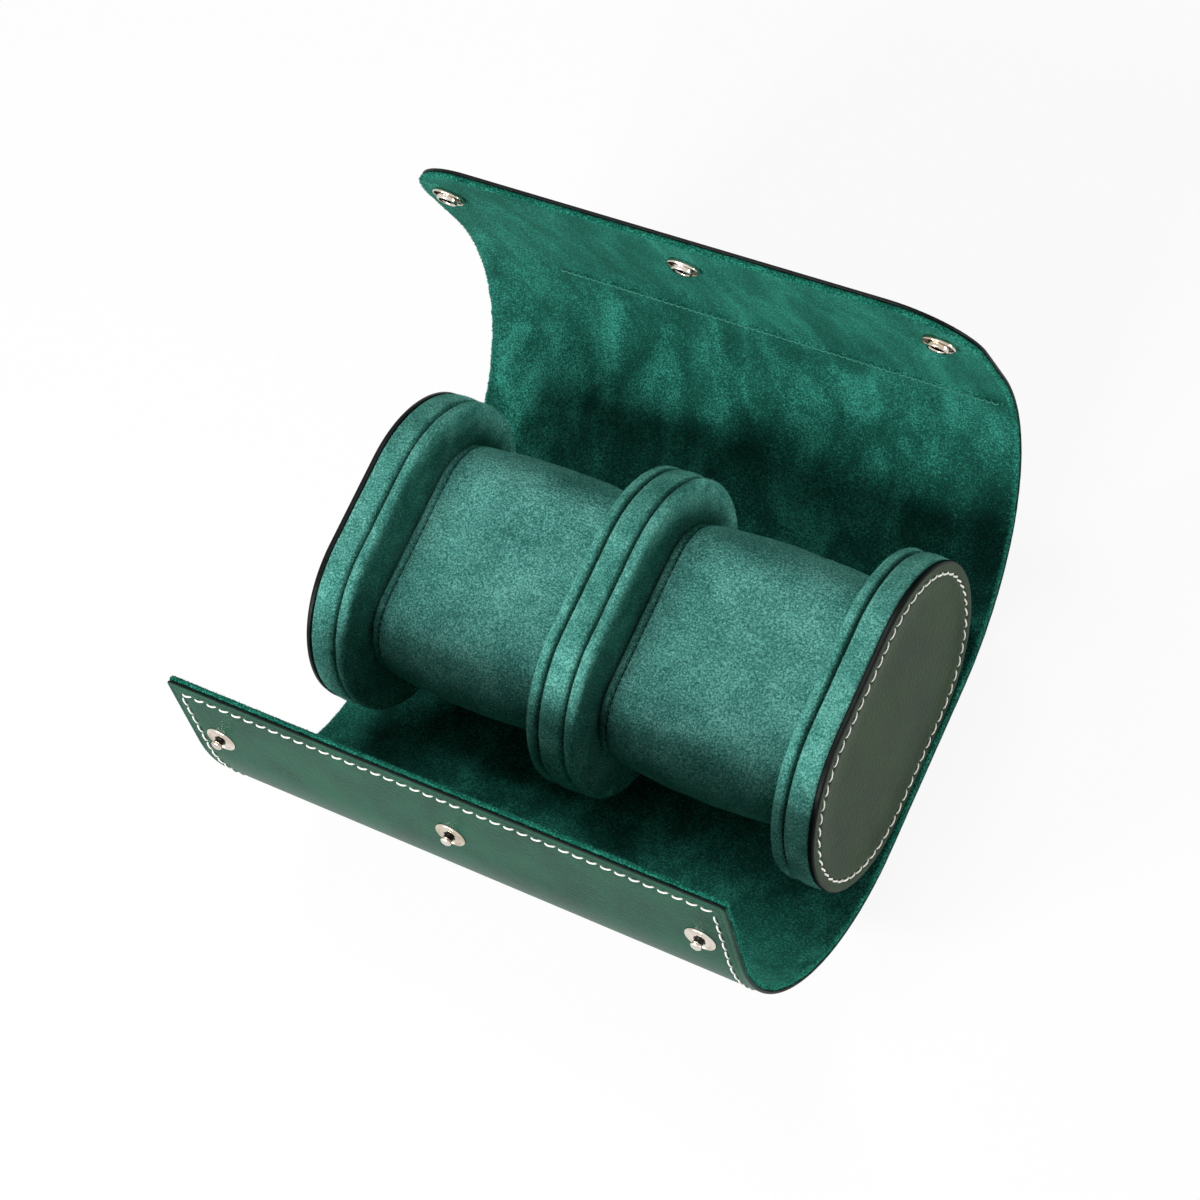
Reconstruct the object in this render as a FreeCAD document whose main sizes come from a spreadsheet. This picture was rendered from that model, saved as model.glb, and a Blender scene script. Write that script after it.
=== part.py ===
# Travel roll for two watches: a suede-lined leather wrap, laid open round a spool of discs and pillows.
# Millimetres. +X runs along the roll, +Y towards the back flap and +Z up.
# The origin is the middle of the flat underside that the roll rests on.
import FreeCAD, Part
import math
import os
import re
import Sketcher
from FreeCAD import Placement, Rotation, Vector

# Driving dimensions, in millimetres and degrees.
SIZES = {
    # Wrap: a flat base, a front roll up to the stud strip and a back roll up to the socket strip.
    "wrap_width": 192.0,
    "leather_thick": 1.1,
    "padding_thick": 0.9,
    "lining_thick": 1.0,
    "base_depth": 56.0,
    "front_radius": 61.5,
    "front_sweep_angle": 106.0,
    "front_fold_angle": 53.0,
    "front_strip": 32.0,
    "back_radius": 73.0,
    "back_sweep_angle": 96.0,
    "back_low_fold_angle": 32.0,
    "back_high_fold_angle": 64.0,
    "back_strip": 47.0,
    "back_corner": 25.0,
    "fold_gap": 0.6,
    # Snap fasteners: studs on the front strip's leather, sockets on the back strip's lining.
    "snap_end_inset": 12.0,
    "stud_inset": 24.5,
    "socket_inset": 18.0,
    "shank_radius": 1.9,
    "shank_clearance": 0.1,
    "stud_flange_radius": 5.0,
    "stud_flange_thick": 0.8,
    "stud_neck_radius": 1.4,
    "stud_head_radius": 1.8,
    "stud_head_tall": 1.6,
    "stud_head_edge": 0.55,
    "stud_tall": 3.4,
    "rivet_radius": 4.5,
    "rivet_thick": 0.5,
    "socket_radius": 5.3,
    "socket_bore_radius": 2.3,
    "socket_lip": 0.5,
    "socket_tall": 2.6,
    "snap_cap_radius": 6.0,
    "snap_cap_flat_radius": 4.0,
    "snap_cap_edge": 0.6,
    "snap_cap_tall": 1.3,
    # Spool: a capped disc at each end and a divider, each a banded core with padded cheeks.
    # It keeps its distance from the wrap's left and right edges.
    "left_margin": 11.0,
    "right_margin": 1.0,
    "disc_depth": 105.0,
    "disc_height": 76.0,
    "disc_round": 37.0,
    "cap_thick": 2.0,
    "cap_edge": 0.6,
    "end_band": 8.5,
    "middle_band": 9.0,
    "cheek_thick": 4.0,
    "cheek_edge": 1.8,
    "skin_thick": 0.9,
    # Pillows: stuffed sleeves that fill the two bays between the discs and lift out of them.
    "pillow_depth": 78.0,
    "pillow_height": 42.0,
    "pillow_round": 18.0,
    "pillow_crown": 2.0,
    "pillow_clearance": 0.3,
}
SNAP_COUNT = 3

# Formulas shared by several pieces.
WRAP_THICK = "(leather_thick + padding_thick + lining_thick)"
SPOOL_HEIGHT = f"({WRAP_THICK} + disc_height / 2)"
SPOOL_LENGTH = "(wrap_width - left_margin - right_margin)"
LEFT_CORE = "(left_margin - wrap_width / 2 + cap_thick)"
RIGHT_CORE = "(wrap_width / 2 - right_margin - cap_thick - end_band)"
MIDDLE_CORE = "((left_margin - right_margin) / 2 - middle_band / 2)"
BAY_LENGTH = f"({SPOOL_LENGTH} / 2 - cap_thick - end_band - middle_band / 2 - 2 * cheek_thick)"
PILLOW_LENGTH = f"({BAY_LENGTH} - 2 * pillow_clearance)"
LEFT_BAY = f"({LEFT_CORE} + end_band + cheek_thick)"
RIGHT_BAY = f"({MIDDLE_CORE} + middle_band + cheek_thick)"
FIRST_SNAP = "(snap_end_inset - wrap_width / 2)"
SNAP_ROW = "(wrap_width - 2 * snap_end_inset)"
STUD_LINE = "(front_strip - stud_inset)"
SOCKET_LINE = "(back_strip - socket_inset)"

# The wrap's layers, each by its depth below the lining's face.
LAYERS = (
    ("lining", "0", "lining_thick"),
    ("padding", "lining_thick", "(lining_thick + padding_thick)"),
    ("leather", "(lining_thick + padding_thick)", WRAP_THICK),
)

FRONT = -1
BACK = 1
SIDEWAYS = Vector(1, 0, 0)
DEPTHWAYS = Vector(0, 1, 0)
UPWARDS = Vector(0, 0, 1)

# Points of a sketch's lines, arcs and circles, and the sketch's own origin.
START = 1
END = 2
CENTRE = 3
ORIGIN_POINT = (-1, 1)

# Two places nearer than this, in millimetres, are one place.
SAME_PLACE = 1e-6

doc = FreeCAD.newDocument("watch_roll")
sheet = doc.addObject("Spreadsheet::Sheet", "Sizes")
for row, (alias, size) in enumerate(SIZES.items(), start=1):
    sheet.set(f"A{row}", alias)
    sheet.set(f"B{row}", str(size))
    sheet.setAlias(f"B{row}", alias)
doc.recompute()

pieces = []


def named(formula):
    """The formula with each driving dimension written as its cell in the sheet."""
    def cell(word):
        return f"Sizes.{word[0]}" if word[0] in SIZES else word[0]

    return re.sub(r"[a-z_]+", cell, formula)


def number(formula):
    """The formula's value at the present sizes."""
    return float(sheet.evalExpression(named(formula)))


def bind(item, prop, formula):
    """Tie a property of the document object to a formula of the driving dimensions."""
    item.setExpression(prop, named(formula))


def keep(item, label):
    """Note a finished piece under the name of its file."""
    item.Label = label
    pieces.append(item)
    return item


def place(item, x="0", y="0", z="0"):
    """Tie a piece's place to formulas, with its turn left as it is."""
    for axis, formula in zip("xyz", (x, y, z)):
        bind(item, f"Placement.Base.{axis}", formula)


def turn(item, axis, degrees):
    """Turn a piece about an axis through its own origin, by a formula in degrees."""
    item.Placement = Placement(Vector(), Rotation(axis, number(degrees)))
    bind(item, "Placement.Rotation.Angle", degrees)


def limit(sketch, kind, *terms, formula=None):
    """Add a constraint to the sketch and, where it is a size, tie it to its formula."""
    if formula is None:
        sketch.addConstraint(Sketcher.Constraint(kind, *terms))
        return
    index = sketch.addConstraint(Sketcher.Constraint(kind, *terms, number(formula)))
    bind(sketch, f"Constraints[{index}]", formula)


def rounded_outline(sketch, depth, height, rounding):
    """Draw a rectangle with rounded corners, centred on the sketch's origin."""
    half_depth = number(depth) / 2
    half_height = number(height) / 2
    radius = number(rounding)
    first = len(sketch.Geometry)
    lines = [first + 2 * side for side in range(4)]
    arcs = [line + 1 for line in lines]
    in_depth = half_depth - radius
    in_height = half_height - radius
    runs = (
        (Vector(-in_depth, -half_height), Vector(in_depth, -half_height)),
        (Vector(half_depth, -in_height), Vector(half_depth, in_height)),
        (Vector(in_depth, half_height), Vector(-in_depth, half_height)),
        (Vector(-half_depth, in_height), Vector(-half_depth, -in_height)),
    )
    centres = (
        Vector(in_depth, -in_height),
        Vector(in_depth, in_height),
        Vector(-in_depth, in_height),
        Vector(-in_depth, -in_height),
    )
    quarter = math.radians(90)
    for corner, (run, centre) in enumerate(zip(runs, centres)):
        circle = Part.Circle(centre, UPWARDS, radius)
        start = (corner - 1) * quarter
        sketch.addGeometry(Part.LineSegment(*run), False)
        sketch.addGeometry(Part.ArcOfCircle(circle, start, start + quarter), False)
    for corner in range(4):
        following = (corner + 1) % 4
        limit(sketch, "Tangent", lines[corner], END, arcs[corner], START)
        limit(sketch, "Tangent", arcs[corner], END, lines[following], START)
        limit(sketch, "Vertical" if corner % 2 else "Horizontal", lines[corner])
        if corner:
            limit(sketch, "Equal", arcs[0], arcs[corner])
    limit(sketch, "Radius", arcs[0], formula=rounding)
    limit(sketch, "DistanceY", lines[0], START, *ORIGIN_POINT, formula=f"({height}) / 2")
    limit(sketch, "DistanceX", *ORIGIN_POINT, lines[1], START, formula=f"({depth}) / 2")
    limit(sketch, "DistanceY", *ORIGIN_POINT, lines[2], START, formula=f"({height}) / 2")
    limit(sketch, "DistanceX", lines[3], START, *ORIGIN_POINT, formula=f"({depth}) / 2")


def pinned_outline(sketch, corners):
    """Draw a closed outline of straight sides, with each corner held at a pair of formulas."""
    points = [Vector(number(across), number(up)) for across, up in corners]
    first = len(sketch.Geometry)
    count = len(points)
    for side in range(count):
        sketch.addGeometry(Part.LineSegment(points[side], points[(side + 1) % count]), False)
    for side in range(count):
        limit(sketch, "Coincident", first + side, END, first + (side + 1) % count, START)
    for side, (across, up) in enumerate(corners):
        limit(sketch, "DistanceX", *ORIGIN_POINT, first + side, START, formula=across)
        limit(sketch, "DistanceY", *ORIGIN_POINT, first + side, START, formula=up)


def round_hole(sketch, across, up, radius):
    """Draw a circle in the sketch with its centre held at a pair of formulas."""
    middle = Vector(number(across), number(up))
    index = sketch.addGeometry(Part.Circle(middle, UPWARDS, number(radius)), False)
    limit(sketch, "DistanceX", *ORIGIN_POINT, index, CENTRE, formula=across)
    limit(sketch, "DistanceY", *ORIGIN_POINT, index, CENTRE, formula=up)
    limit(sketch, "Radius", index, formula=radius)


def origin_feature(body, role):
    """One of the body's own origin planes or axes."""
    return next(item for item in body.Origin.OriginFeatures if item.Role == role)


def new_body(label):
    """An empty body, noted as a piece of the roll."""
    return keep(doc.addObject("PartDesign::Body", label), label)


def new_sketch(body, role):
    """An empty sketch on one of the body's origin planes."""
    sketch = body.newObject("Sketcher::SketchObject", f"{body.Name}_sketch")
    sketch.AttachmentSupport = (origin_feature(body, role), [""])
    sketch.MapMode = "FlatFace"
    return sketch


def pad(body, sketch, length):
    """Raise the sketch into a plate of the given thickness."""
    plate = body.newObject("PartDesign::Pad", f"{body.Name}_pad")
    plate.Profile = sketch
    bind(plate, "Length", length)
    sketch.Visibility = False
    return plate


def round_edges(body, base, chosen, radius):
    """Round those edges of the last feature that the test picks."""
    doc.recompute()
    edges = [f"Edge{index}" for index, edge in enumerate(base.Shape.Edges, start=1) if chosen(edge)]
    rounding = body.newObject("PartDesign::Fillet", f"{body.Name}_fillet")
    rounding.Base = (base, edges)
    bind(rounding, "Radius", radius)
    doc.recompute()
    return rounding


# Wrap.

def roll_layer(label, side, radius, start, end, outer, inner):
    """One layer of a rolled stretch of the wrap, between two folds given by their angles from the base."""
    trim = f"(fold_gap / 2 / ({radius} - {WRAP_THICK}) * 180 / pi)"
    facing = Rotation(UPWARDS, 0 if side == BACK else 180)
    lying = Rotation(DEPTHWAYS, 90)
    shells = []
    for depth, name in ((outer, "outer"), (inner, "inner")):
        shell = doc.addObject("Part::Cylinder", f"{label}_{name}")
        shell.Placement = Placement(Vector(), facing * lying)
        bind(shell, "Placement.Base.x", f"{-side} * wrap_width / 2")
        bind(shell, "Radius", f"{radius} - {WRAP_THICK} + {depth}")
        bind(shell, "Height", "wrap_width")
        bind(shell, "Angle", f"({end}) - ({start}) - 2 * {trim}")
        shells.append(shell)
    layer = keep(doc.addObject("Part::Cut", label), label)
    layer.Base, layer.Tool = shells
    turn(layer, SIDEWAYS, f"{side} * (({start}) + {trim})")
    place(layer, y=f"{side} * base_depth / 2", z=radius)


def rolled_panel(name, side, radius, start, end):
    """The three layers of a rolled stretch."""
    for layer, near, far in LAYERS:
        roll_layer(f"{name}_{layer}", side, radius, start, end, far, near)


def strip_place(side, radius, sweep):
    """Where the flat strip past a roll begins on the lining's face: across and up."""
    inner = f"({radius} - {WRAP_THICK})"
    return f"{side} * (base_depth / 2 + {inner} * sin({sweep}))", f"{radius} - {inner} * cos({sweep})"


def strip_turn(side, sweep):
    """The turn about X that points a strip's own +Y from its fold to its edge."""
    return sweep if side == BACK else f"180 - {sweep}"


def flat_layer(label, side, near_edge, far_edge, near, far, snap_line=None, corner=None):
    """One layer of a flat panel in its own plane: the lining's face is at zero height."""
    body = new_body(label)
    sketch = new_sketch(body, "XY_Plane")
    half = "wrap_width / 2"
    pinned_outline(sketch, [
        (f"-{half}", near_edge),
        (half, near_edge),
        (half, far_edge),
        (f"-{half}", far_edge),
    ])
    if snap_line:
        for step in range(SNAP_COUNT):
            along = f"{FIRST_SNAP} + {SNAP_ROW} * {step} / {SNAP_COUNT - 1}"
            round_hole(sketch, along, snap_line, "shank_radius + shank_clearance")
    bind(sketch, "AttachmentOffset.Base.z", near if side == FRONT else f"-({far})")
    plate = pad(body, sketch, f"({far}) - ({near})")
    if corner:
        edge_place = number(far_edge)

        def at_free_corner(edge):
            box = edge.BoundBox
            upright = max(box.XLength, box.YLength) < SAME_PLACE
            return upright and abs(box.Center.y - edge_place) < SAME_PLACE

        round_edges(body, plate, at_free_corner, corner)
    return body


def strip_panel(name, side, radius, sweep, length, snap_line, corner=None):
    """The three layers of the flat strip at the end of a roll."""
    across, up = strip_place(side, radius, sweep)
    for layer, near, far in LAYERS:
        body = flat_layer(f"{name}_{layer}", side, "fold_gap / 2", length, near, far, snap_line, corner)
        turn(body, SIDEWAYS, strip_turn(side, sweep))
        place(body, y=across, z=up)


def base_panel(name):
    """The three layers of the flat base under the spool."""
    edge = "(base_depth / 2 - fold_gap / 2)"
    for layer, near, far in LAYERS:
        body = flat_layer(f"{name}_{layer}", BACK, f"-{edge}", edge, near, far)
        place(body, z=WRAP_THICK)


# Snap fasteners.

def snap_row(label, side, radius, sweep, snap_line, profile):
    """A row of turned metal pieces on a strip, from half of their section."""
    body = new_body(label)
    sketch = new_sketch(body, "XZ_Plane")
    pinned_outline(sketch, profile)
    turned = body.newObject("PartDesign::Revolution", f"{label}_turned")
    turned.Profile = sketch
    turned.ReferenceAxis = (sketch, ["V_Axis"])
    turned.Angle = 360
    sketch.Visibility = False
    doc.recompute()
    row = body.newObject("PartDesign::LinearPattern", f"{label}_row")
    row.Originals = [turned]
    row.Direction = (origin_feature(body, "X_Axis"), [""])
    row.Occurrences = SNAP_COUNT
    bind(row, "Length", SNAP_ROW)
    body.Tip = row
    across, up = strip_place(side, radius, sweep)
    lean = strip_turn(side, sweep)
    turn(body, SIDEWAYS, lean)
    place(
        body,
        FIRST_SNAP,
        f"{across} + ({snap_line}) * cos({lean})",
        f"{up} + ({snap_line}) * sin({lean})",
    )


def snaps():
    """Studs with their rivets on the front strip, sockets with their caps on the back strip."""
    front = (FRONT, "front_radius", "front_sweep_angle", STUD_LINE)
    back = (BACK, "back_radius", "back_sweep_angle", SOCKET_LINE)
    flange_top = f"{WRAP_THICK} + stud_flange_thick"
    head_top = f"{WRAP_THICK} + stud_tall"
    head_foot = f"{head_top} - stud_head_tall"
    snap_row("snap_studs", *front, [
        ("0", WRAP_THICK),
        ("stud_flange_radius", WRAP_THICK),
        ("stud_flange_radius", flange_top),
        ("stud_neck_radius", flange_top),
        ("stud_neck_radius", head_foot),
        ("stud_head_radius", f"{head_foot} + stud_head_edge"),
        ("stud_head_radius", f"{head_top} - stud_head_edge"),
        ("stud_head_radius - stud_head_edge", head_top),
        ("0", head_top),
    ])
    snap_row("snap_rivets", *front, [
        ("0", "-rivet_thick"),
        ("rivet_radius", "-rivet_thick"),
        ("rivet_radius", "0"),
        ("shank_radius", "0"),
        ("shank_radius", WRAP_THICK),
        ("0", WRAP_THICK),
    ])
    snap_row("snap_sockets", *back, [
        ("socket_bore_radius", "0"),
        ("socket_radius", "0"),
        ("socket_radius", "socket_tall - socket_lip"),
        ("socket_radius - socket_lip", "socket_tall"),
        ("socket_bore_radius + socket_lip", "socket_tall"),
        ("socket_bore_radius", "socket_tall - socket_lip"),
    ])
    snap_row("snap_caps", *back, [
        ("0", f"-{WRAP_THICK} - snap_cap_tall"),
        ("snap_cap_flat_radius", f"-{WRAP_THICK} - snap_cap_tall"),
        ("snap_cap_radius", f"-{WRAP_THICK} - snap_cap_edge"),
        ("snap_cap_radius", f"-{WRAP_THICK}"),
        ("shank_radius", f"-{WRAP_THICK}"),
        ("shank_radius", "0"),
        ("0", "0"),
    ])


# Spool.

def disc_outline(sketch, inset):
    """The discs' rounded outline, drawn in by an inset."""
    rounded_outline(
        sketch,
        f"disc_depth - 2 * ({inset})",
        f"disc_height - 2 * ({inset})",
        f"disc_round - ({inset})",
    )


def disc_plate(label, x, thick, inset="0", bore=None, turned=False):
    """A plate of the discs' outline that stands on the base, bored to an inset where one is given."""
    body = new_body(label)
    sketch = new_sketch(body, "YZ_Plane")
    disc_outline(sketch, inset)
    if bore:
        disc_outline(sketch, bore)
    plate = pad(body, sketch, thick)
    if turned:
        body.Placement = Placement(Vector(), Rotation(UPWARDS, 180))
    place(body, x=x, z=SPOOL_HEIGHT)
    return body, plate


def face_edges(thick):
    """A test that picks the edges round a plate's outer face."""
    level = number(thick)
    return lambda edge: all(abs(vertex.Point.x - level) < SAME_PLACE for vertex in edge.Vertexes)


def cap(label, x, turned):
    """The leather facing of an end disc, with a softly rounded edge."""
    body, plate = disc_plate(label, x, "cap_thick", turned=turned)
    round_edges(body, plate, face_edges("cap_thick"), "cap_edge")


def cheek(name, x, turned):
    """A padded cheek: a suede skin turned over the rim of a foam plate."""
    body, plate = disc_plate(f"{name}_skin", x, "cheek_thick", turned=turned)
    rolled = round_edges(body, plate, face_edges("cheek_thick"), "cheek_edge")
    sketch = new_sketch(body, "YZ_Plane")
    disc_outline(sketch, "skin_thick")
    hollow = body.newObject("PartDesign::Pocket", f"{name}_hollow")
    hollow.Profile = sketch
    hollow.Reversed = True
    bind(hollow, "Length", "cheek_thick - skin_thick")
    sketch.Visibility = False
    doc.recompute()
    if hollow.Shape.Volume >= rolled.Shape.Volume:
        raise RuntimeError(f"{name}: the hollow for the foam cuts nothing")
    disc_plate(f"{name}_foam", x, "cheek_thick - skin_thick", "skin_thick", turned=turned)


def banded_core(name, x, width):
    """The stiff core of a disc with the suede band round its rim."""
    disc_plate(f"{name}_band", x, width, bore="skin_thick")
    disc_plate(f"{name}_core", x, width, "skin_thick")


def spool():
    """The two end discs and the divider."""
    cap("left_cap", LEFT_CORE, True)
    banded_core("left_disc", LEFT_CORE, "end_band")
    cheek("left_cheek", f"{LEFT_CORE} + end_band", False)
    banded_core("divider", MIDDLE_CORE, "middle_band")
    cheek("divider_left_cheek", MIDDLE_CORE, True)
    cheek("divider_right_cheek", f"{MIDDLE_CORE} + middle_band", False)
    cheek("right_cheek", RIGHT_CORE, True)
    banded_core("right_disc", RIGHT_CORE, "end_band")
    cap("right_cap", f"{RIGHT_CORE} + end_band", False)


# Pillows.

def pillow_form(label, x, inset):
    """The crowned form of a pillow, drawn in by an inset, as a loft from end to end."""
    stations = (
        ("near", "0", "0"),
        ("middle", f"{PILLOW_LENGTH} / 2", "pillow_crown"),
        ("far", PILLOW_LENGTH, "0"),
    )
    lengthways = Rotation(Vector(1, 1, 1), 120)
    sections = []
    for station, along, crown in stations:
        section = doc.addObject("Sketcher::SketchObject", f"{label}_{station}")
        section.Placement = Placement(Vector(), lengthways)
        grown = f"2 * ({crown}) - 2 * ({inset})"
        rounding = f"pillow_round + ({crown}) - ({inset})"
        rounded_outline(section, f"pillow_depth + {grown}", f"pillow_height + {grown}", rounding)
        place(section, x=f"{x} + {along}", z=SPOOL_HEIGHT)
        sections.append(section)
    form = doc.addObject("Part::Loft", label)
    form.Sections = sections
    form.Solid = True
    form.Ruled = False
    return form


def pillow(name, bay):
    """A watch pillow in the bay that starts at the given place: its sewn sleeve, foam and end panels."""
    x = f"{bay} + pillow_clearance"
    outer = pillow_form(f"{name}_outer", x, "0")
    inner = pillow_form(f"{name}_inner", x, "skin_thick")
    stuffing = doc.addObject("Part::Box", f"{name}_stuffing")
    bind(stuffing, "Length", f"{PILLOW_LENGTH} - 2 * skin_thick")
    bind(stuffing, "Width", "disc_depth")
    bind(stuffing, "Height", "disc_height")
    place(stuffing, f"{x} + skin_thick", "-disc_depth / 2", WRAP_THICK)
    sleeve = keep(doc.addObject("Part::Cut", f"{name}_sleeve"), f"{name}_sleeve")
    sleeve.Base, sleeve.Tool = outer, inner
    foam = keep(doc.addObject("Part::MultiCommon", f"{name}_foam"), f"{name}_foam")
    foam.Shapes = [inner, stuffing]
    ends = keep(doc.addObject("Part::Cut", f"{name}_ends"), f"{name}_ends")
    ends.Base, ends.Tool = inner, stuffing


def wrap():
    """The wrap's panels from the base outwards, each stretch between two folds apart."""
    base_panel("base")
    rolled_panel("front_low", FRONT, "front_radius", "0", "front_fold_angle")
    rolled_panel("front_high", FRONT, "front_radius", "front_fold_angle", "front_sweep_angle")
    strip_panel("front_strip", FRONT, "front_radius", "front_sweep_angle", "front_strip", STUD_LINE)
    rolled_panel("back_low", BACK, "back_radius", "0", "back_low_fold_angle")
    rolled_panel("back_middle", BACK, "back_radius", "back_low_fold_angle", "back_high_fold_angle")
    rolled_panel("back_high", BACK, "back_radius", "back_high_fold_angle", "back_sweep_angle")
    back = ("back_strip", BACK, "back_radius", "back_sweep_angle", "back_strip", SOCKET_LINE)
    strip_panel(*back, corner="back_corner")


def check():
    """Stop if any object failed or any piece has no sound solid."""
    for item in doc.Objects:
        if {"Invalid", "Error"} & set(item.State):
            raise RuntimeError(f"{item.Label}: {item.State}")
    for piece in pieces:
        if piece.Shape.isNull() or not piece.Shape.isValid() or not piece.Shape.Solids:
            raise RuntimeError(f"{piece.Label}: no sound solid")


wrap()
snaps()
spool()
pillow("left_pillow", LEFT_BAY)
pillow("right_pillow", RIGHT_BAY)
doc.recompute()
check()
os.makedirs("parts", exist_ok=True)
for piece in pieces:
    piece.Shape.exportStep(os.path.join("parts", f"{piece.Label}.step"))
print(f"{len(pieces)} pieces written")
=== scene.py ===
"""Looks of a travel roll for two watches: leather wrap, suede lining, discs, pillows and snaps.

Lengths are metres in the shared frame. A name that ends in _mm holds millimetres.
"""
import logging
import math
from dataclasses import dataclass, field
from enum import Enum
from typing import Callable, Optional, Sequence

import bmesh
import bpy
import numpy as np
from mathutils import Matrix, Vector


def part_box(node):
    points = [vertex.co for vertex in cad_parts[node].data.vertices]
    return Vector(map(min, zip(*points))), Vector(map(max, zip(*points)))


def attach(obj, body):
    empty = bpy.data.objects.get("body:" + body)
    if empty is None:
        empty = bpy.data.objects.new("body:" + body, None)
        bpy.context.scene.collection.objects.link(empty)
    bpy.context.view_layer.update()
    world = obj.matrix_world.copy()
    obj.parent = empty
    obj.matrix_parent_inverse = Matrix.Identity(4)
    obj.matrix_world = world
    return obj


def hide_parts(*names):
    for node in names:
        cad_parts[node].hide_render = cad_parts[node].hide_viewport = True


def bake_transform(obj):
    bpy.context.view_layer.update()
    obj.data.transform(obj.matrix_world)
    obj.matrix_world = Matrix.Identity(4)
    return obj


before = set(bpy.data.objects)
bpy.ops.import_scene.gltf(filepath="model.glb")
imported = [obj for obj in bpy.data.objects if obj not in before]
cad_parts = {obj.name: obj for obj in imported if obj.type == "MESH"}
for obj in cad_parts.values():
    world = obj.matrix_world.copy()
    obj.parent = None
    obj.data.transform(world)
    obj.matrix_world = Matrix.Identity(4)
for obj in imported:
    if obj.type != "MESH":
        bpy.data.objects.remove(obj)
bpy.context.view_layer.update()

log = logging.getLogger("watch_roll")

MM = 0.001
REST = "rest_place"
PHOTO_PIXELS = 1200
SENSOR_MM = 36.0
PILLOW_SEED = 41
TINY = 1e-9
ON_EDGE = 1e-7
# A diagonal wave texture turns ten radians in a unit along an axis.
WAVE_TURN = 2 * math.pi / 10

Point = tuple[float, float]
Profile = Sequence[Point]
Bed = tuple[np.ndarray, np.ndarray]
StitchLine = tuple[np.ndarray, np.ndarray]


class Side(Enum):
    """The two ends of the wrap, by the sign of the distance along it."""

    FRONT = -1
    BACK = 1


class Facing(Enum):
    """Which way along the roll a disc's padded or leather face looks."""

    LEFT = -1
    RIGHT = 1


def linear(colour: str) -> tuple[float, float, float, float]:
    """Turn an sRGB hex colour into linear values.

    Args:
        colour: six hex digits, with or without a leading hash.

    Returns:
        Linear red, green and blue, and an alpha of one.
    """
    digits = colour.lstrip("#")
    values = [int(digits[at:at + 2], 16) / 255 for at in (0, 2, 4)]
    turned = [v / 12.92 if v <= 0.04045 else ((v + 0.055) / 1.055) ** 2.4 for v in values]
    return (*turned, 1.0)


def set_inputs(tree: bpy.types.NodeTree, node: bpy.types.Node, inputs: dict) -> None:
    """Set a node's inputs to values, or link them to sockets.

    Args:
        tree: the node's tree.
        node: the node.
        inputs: values or sockets for the node's inputs, by name or by place.
    """
    for name, value in inputs.items():
        socket = node.inputs[name]
        if isinstance(value, bpy.types.NodeSocket):
            tree.links.new(value, socket)
        else:
            socket.default_value = value


def add_node(
    tree: bpy.types.NodeTree,
    kind: str,
    settings: Optional[dict] = None,
    inputs: Optional[dict] = None,
) -> bpy.types.Node:
    """Add a node with its settings, values and links.

    Args:
        tree: the tree that takes the node.
        kind: the node's type name.
        settings: attributes of the node to set.
        inputs: values or sockets for the node's inputs, by name or by place.

    Returns:
        The new node.
    """
    node = tree.nodes.new(kind)
    for name, value in (settings or {}).items():
        setattr(node, name, value)
    set_inputs(tree, node, inputs or {})
    return node


def set_ramp(node: bpy.types.Node, stops: Sequence[tuple[float, str]]) -> None:
    """Give a colour ramp its stops.

    Args:
        node: the colour ramp.
        stops: for each stop, its place from 0 to 1 and its hex colour.
    """
    elements = node.color_ramp.elements
    while len(elements) < len(stops):
        elements.new(0.5)
    for element, (place, colour) in zip(elements, stops):
        element.position = place
        element.color = linear(colour)


def per_metre(size_mm: float) -> float:
    """The texture scale that repeats about once in the given millimetres."""
    return 1.0 / (size_mm * MM)


def link(name: str, data: bpy.types.ID) -> bpy.types.Object:
    """Make an object and link it to the scene.

    Args:
        name: the object's name.
        data: the mesh, lamp or camera.

    Returns:
        The new object.
    """
    made = bpy.data.objects.new(name, data)
    bpy.context.scene.collection.objects.link(made)
    return made


class Finish:
    """A surface finish that makes its material once."""

    name: str

    def material(self) -> bpy.types.Material:
        """Make the finish's material on its first use.

        Returns:
            The material.
        """
        found = bpy.data.materials.get(self.name)
        if found is not None:
            return found
        made = bpy.data.materials.new(self.name)
        made.use_nodes = True
        tree = made.node_tree
        tree.nodes.clear()
        shader = add_node(tree, "ShaderNodeBsdfPrincipled")
        add_node(tree, "ShaderNodeOutputMaterial", inputs={"Surface": shader.outputs["BSDF"]})
        self.paint(tree, shader)
        return made

    def paint(self, tree: bpy.types.NodeTree, shader: bpy.types.Node) -> None:
        """Add the finish's own nodes to the shader."""
        raise NotImplementedError

    @staticmethod
    def rest(tree: bpy.types.NodeTree) -> bpy.types.NodeSocket:
        """Each point's place at rest, which moves with the piece."""
        place = add_node(tree, "ShaderNodeAttribute", {"attribute_name": REST})
        return place.outputs["Vector"]


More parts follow.
